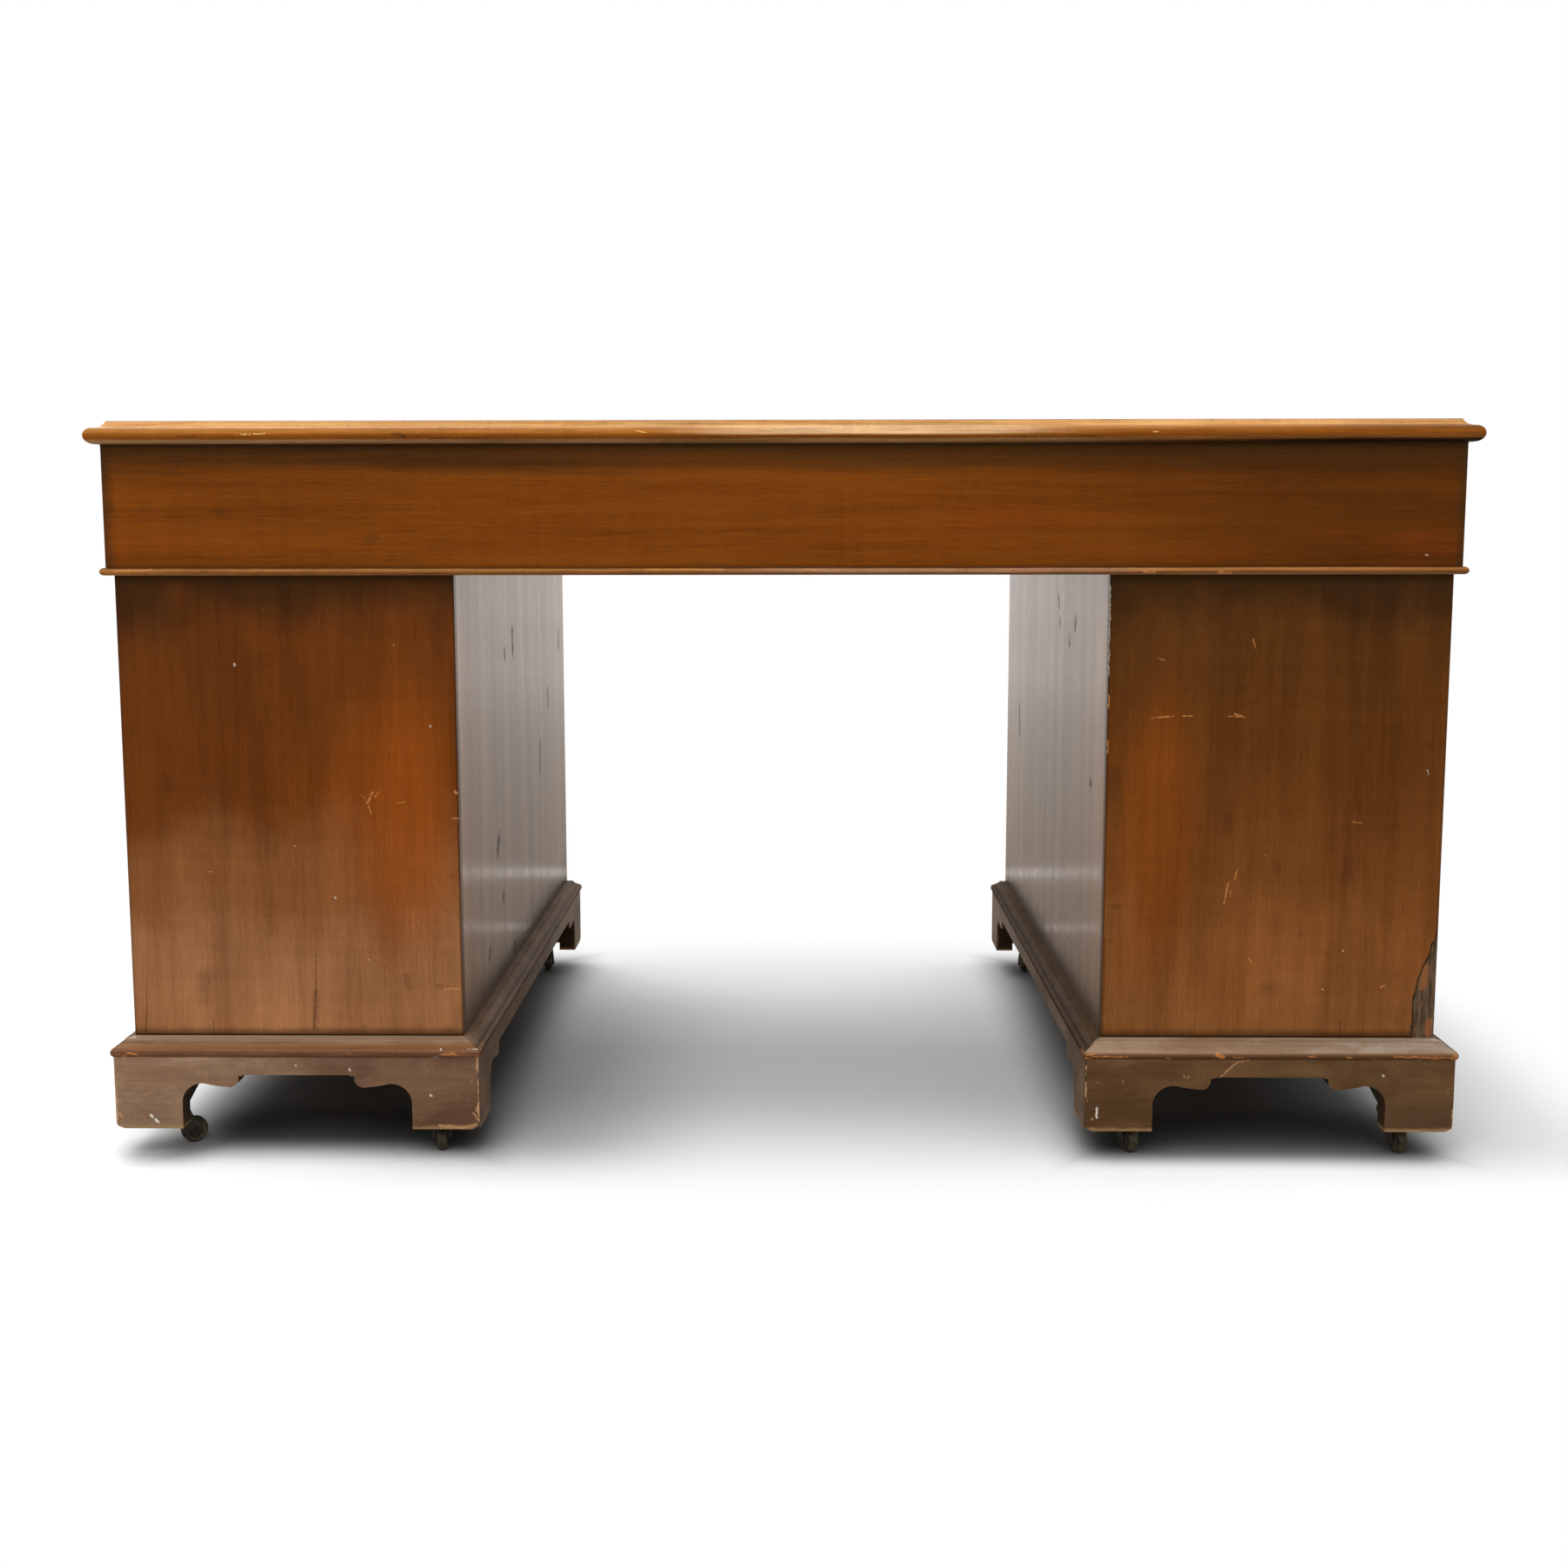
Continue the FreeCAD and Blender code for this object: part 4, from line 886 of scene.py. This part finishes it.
def contact_shade(s):
    """Painted shadow on the floor: how much white the floor keeps, less in the kneehole, and least under
    the pedestals.
    """
    left = s.on_right(1.0, 0.0)
    middle = s.linear(left, -0.03, 0.52)
    beside = s.off(s.off(s.x), middle)
    beside = s.plus(beside, s.linear(left, 0.03, -0.185))
    deep = s.less(s.off(s.y, 0.01), 0.445)
    under = s.fade(s.most(beside, deep), -0.05, 0.06, 0.22, 1.0)
    ahead = s.less(s.y, s.linear(left, 0.045, -0.455))
    ahead = s.times(s.fade(ahead, -0.03, 0.03), s.drop(s.y, -0.36, -0.24))
    ahead = s.times(ahead, s.drop(beside, -0.03, 0.03))
    foot = s.times(s.within(s.x, -0.72, -0.63, 0.03), s.within(s.y, -0.47, -0.40, 0.03))
    between = s.times(s.fade(s.y, -0.56, -0.20), s.drop(s.y, -0.08, 0.34))
    between = s.times(between, s.drop(s.off(s.x), 0.30, 0.50))
    by_left = s.times(s.fade(s.y, -0.56, -0.38), s.drop(s.y, -0.40, 0.30))
    by_left = s.times(by_left, s.within(s.x, -0.42, -0.16, 0.12))
    right = s.times(s.within(s.x, 0.66, 0.95, 0.10), s.within(s.y, -0.50, 0.30, 0.14))
    kept = under
    for dim, loss in ((between, -0.34), (ahead, -0.62), (foot, -0.5), (by_left, -0.46), (right, -0.40)):
        kept = s.times(kept, s.linear(dim, loss, 1.0))
    return kept


def make_world():
    """Soft light from above, and plain white for the camera. Gloss mirrors a slightly warm white."""
    world = bpy.data.worlds.new("studio")
    bpy.context.scene.world = world
    world.use_nodes = True
    n = Nodes(world.node_tree)
    path = n.node("ShaderNodeLightPath").outputs
    seen = n.most(path["Is Camera Ray"], path["Is Glossy Ray"])
    seen = n.most(seen, path["Is Transmission Ray"])
    place = n.node("ShaderNodeTexCoord").outputs["Generated"]
    height = n.node("ShaderNodeSeparateXYZ", Vector=place).outputs[2]
    strength = n.node("ShaderNodeMix")
    n.put(strength.inputs[0], seen)
    n.fill(strength.inputs[2:4], n.fade(height, 0.0, 0.90, 0.12, 1.40), 1.0)
    tint = n.mix(path["Is Glossy Ray"], (1.0, 1.0, 1.0), (1.0, 0.94, 0.89))
    light = n.node("ShaderNodeBackground", Color=tint, Strength=strength.outputs[0])
    n.node("ShaderNodeOutputWorld", Surface=light.outputs[0])


LAMP_TARGET = Vector((0.0, 0.0, 0.3))


def area_lamp(name, place, size, power):
    """Soft lamp that points at the middle of the desk."""
    lamp = bpy.data.objects.new(name, bpy.data.lights.new(name, "AREA"))
    lamp.data.shape = "RECTANGLE"
    lamp.data.size, lamp.data.size_y = size
    lamp.data.energy = power
    lamp.location = place
    aim = LAMP_TARGET - lamp.location
    lamp.rotation_euler = aim.to_track_quat("-Z", "Y").to_euler()
    show(lamp)


# ---- pieces
def piece(name, mesh, material, body, smooth=True):
    """Object for a finished mesh in the row frame, riding on a body."""
    obj = bpy.data.objects.new(name, mesh)
    mesh.materials.append(material)
    if smooth:
        mesh.shade_smooth()
    show(obj)
    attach(obj, body)
    return obj


def rings_mesh(name, rings, close_start=True, close_end=True):
    """Closed mesh through rings of points that all have the same number of points."""
    bm = bmesh.new()
    rows = [[bm.verts.new(p) for p in ring] for ring in rings]
    count = len(rows[0])
    for a, b in zip(rows, rows[1:]):
        for i in range(count):
            j = (i + 1) % count
            bm.faces.new((a[i], a[j], b[j], b[i]))
    if close_start:
        bm.faces.new(rows[0][::-1])
    if close_end:
        bm.faces.new(rows[-1])
    bmesh.ops.recalc_face_normals(bm, faces=bm.faces)
    mesh = bpy.data.meshes.new(name)
    bm.to_mesh(mesh)
    bm.free()
    return mesh


def turned_mesh(name, centre, axis, profile, count=40, **ends):
    """Mesh turned about an axis through centre; the profile holds distances along it and radii."""
    axis = Vector(axis).normalized()
    side = axis.cross(Vector((0, 0, 1)) if abs(axis.z) < 0.9 else Vector((1, 0, 0))).normalized()
    other = axis.cross(side)
    rings = []
    for reach, radius in profile:
        ring = []
        for i in range(count):
            turn = 2 * math.pi * i / count
            out = side * math.cos(turn) + other * math.sin(turn)
            ring.append(Vector(centre) + axis * reach + out * radius)
        rings.append(ring)
    return rings_mesh(name, rings, **ends)


def curved(profile, steps=6):
    """Catmull-Rom points through a profile, so that a turned shape has soft mouldings."""
    points = [profile[0], *profile, profile[-1]]
    path = []
    for a, b, c, d in zip(points, points[1:], points[2:], points[3:]):
        for i in range(steps):
            t = i / steps
            path.append(tuple(0.5 * (2 * q + (r - p) * t + (2 * p - 5 * q + 4 * r - s) * t * t
                                     + (3 * q - p - 3 * r + s) * t ** 3)
                              for p, q, r, s in zip(a, b, c, d)))
    return path + [profile[-1]]


KNOB_LENGTH = 0.026
KNOB_SPREAD = 0.54              # between a drawer's knobs, as a share of its front's length
PLATE_HEIGHT = 0.70             # of an escutcheon's middle, as a share of its front's height
PLATE_HALVES = 0.0082, 0.0125
# distances along the axis and radii
KNOB_PROFILE = [(0.0, 0.0102), (0.0012, 0.0100), (0.0022, 0.0088), (0.0085, 0.0083), (0.0108, 0.0104),
                (0.0142, 0.0147), (0.0172, 0.0156), (0.0206, 0.0153), (0.0236, 0.0141), (0.0252, 0.0128),
                (0.02602, 0.0112)]
KNOB_END = [(0.02603, 0.0078), (0.02603, 0.0004)]       # flat, to stay within the desk's depth


def front_face(name):
    """Where a drawer front's board ends along Y: the knobs stand on it."""
    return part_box(name + "_front")[1].y - KNOB_LENGTH


def knobs(name, material):
    """Turned knobs over a drawer's two faceted ones."""
    low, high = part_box(name + "_front")
    face = front_face(name)
    middle_x, middle_z = (low.x + high.x) / 2, (low.z + high.z) / 2
    spread = (high.x - low.x) * KNOB_SPREAD / 2
    for side, x in (("left", middle_x - spread), ("right", middle_x + spread)):
        mesh = turned_mesh(name + "_knob", (x, face, middle_z), (0, 1, 0), curved(KNOB_PROFILE) + KNOB_END,
                           close_start=False)
        piece(name + "_" + side + "_knob", mesh, material, name)


def escutcheon(name, brass, dark):
    """Brass plate between the knobs, with its keyhole."""
    low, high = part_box(name + "_front")
    face = front_face(name)
    centre = Vector(((low.x + high.x) / 2, face, low.z + (high.z - low.z) * PLATE_HEIGHT))
    turns = [2 * math.pi * i / 48 for i in range(48)]

    def ring(scale, depth):
        """Pointed oval of the plate's rim."""
        points = []
        for turn in turns:
            pinch = 1 - 0.10 * math.cos(2 * turn) ** 2
            points.append(centre + Vector((PLATE_HALVES[0] * scale * math.sin(turn) * pinch, depth,
                                           PLATE_HALVES[1] * scale * math.cos(turn))))
        return points

    def keyhole(grow, depth):
        """Round above a slot that widens downwards."""
        points = []
        for turn in turns:
            x, z = 0.0021 * math.sin(turn), 0.0021 * math.cos(turn)
            if math.cos(turn) < -0.55:
                x, z = 0.0016 * math.sin(turn) / 0.83, -0.0066
            elif math.cos(turn) < -0.35:
                x, z = math.copysign(0.0010, math.sin(turn)), -0.0020
            points.append(centre + Vector((x * grow, depth, 0.0024 + z * grow)))
        return points

    rings = [ring(1.0, 0.0), ring(1.0, 0.0006), ring(0.93, 0.0011), keyhole(1.18, 0.0011),
             keyhole(1.0, 0.0007), keyhole(1.0, 0.0001)]
    plate = rings_mesh(name + "_escutcheon", rings, False, False)
    piece(name + "_escutcheon", plate, brass, name, smooth=False)
    # dark sheet set in the keyhole: painted shade for the inside of the lock
    hole = bpy.data.meshes.new(name + "_keyhole")
    hole.from_pydata(keyhole(1.02, 0.00015), [], [tuple(range(len(turns)))])
    piece(name + "_keyhole", hole, dark, name, smooth=False)


HALF_WHEEL = [(0.0026, 0.01425), (0.0046, 0.0134), (0.0053, 0.0124), (0.0047, 0.0112), (0.0046, 0.0084),
              (0.0052, 0.0068), (0.0060, 0.0062), (0.0060, 0.0030)]
WHEEL_PROFILE = [(-x, radius) for x, radius in HALF_WHEEL[::-1]] + [(0.0, 0.0145)] + HALF_WHEEL


def caster(name, iron_material, wheel_material):
    """Crowned wheel with a hub, and the fork with the soft edges of a casting."""
    spin = next(j for j in frame["joints"] if j["child"] == name + "_roller")
    low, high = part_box(name + "_wheel")
    mesh = turned_mesh(name + "_crowned_wheel", (low + high) / 2, spin["axis"], WHEEL_PROFILE, 48,
                       close_start=False, close_end=False)
    wheel = piece(name + "_crowned_wheel", mesh, wheel_material, name + "_roller")
    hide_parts(name + "_wheel")
    soft_copy(name + "_fork", name + "_cast_fork", iron_material, name + "_swivel", 0.0012)


def soft_copy(node, name, material, body, radius):
    """A CAD node's shape with rounded edges."""
    bm = bmesh.new()
    bm.from_mesh(nodes[node].data)
    bmesh.ops.remove_doubles(bm, verts=bm.verts, dist=1e-6)
    bmesh.ops.dissolve_limit(bm, angle_limit=math.radians(1), verts=bm.verts, edges=bm.edges)
    sharp = [e for e in bm.edges if len(e.link_faces) == 2 and e.calc_face_angle() > math.radians(35)]
    bmesh.ops.bevel(bm, geom=sharp, offset=radius, segments=3, affect="EDGES", profile=0.5,
                    clamp_overlap=True)
    mesh = bpy.data.meshes.new(name)
    bm.to_mesh(mesh)
    bm.free()
    mesh.materials.clear()
    obj = piece(name, mesh, material, body)
    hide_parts(node)


make_camera()
make_world()
make_floor()
area_lamp("behind", (-1.2, 2.2, 2.6), (2.4, 1.6), 40)
area_lamp("front", (-0.6, -3.4, 3.0), (2.6, 1.8), 84)
dress_cad()

knob_wood, brass, shadow = polished_knob(), old_brass(), keyhole_dark()
for drawer in [b for b in frame["bodies"] if b.endswith("_drawer")]:
    knobs(drawer, knob_wood)
    escutcheon(drawer, brass, shadow)
for corner in [b[:-len("_swivel")] for b in frame["bodies"] if b.endswith("_swivel")]:
    caster(corner, MATERIALS["caster_iron"], MATERIALS["caster_wheel"])

bpy.context.scene.view_settings.view_transform = "Standard"
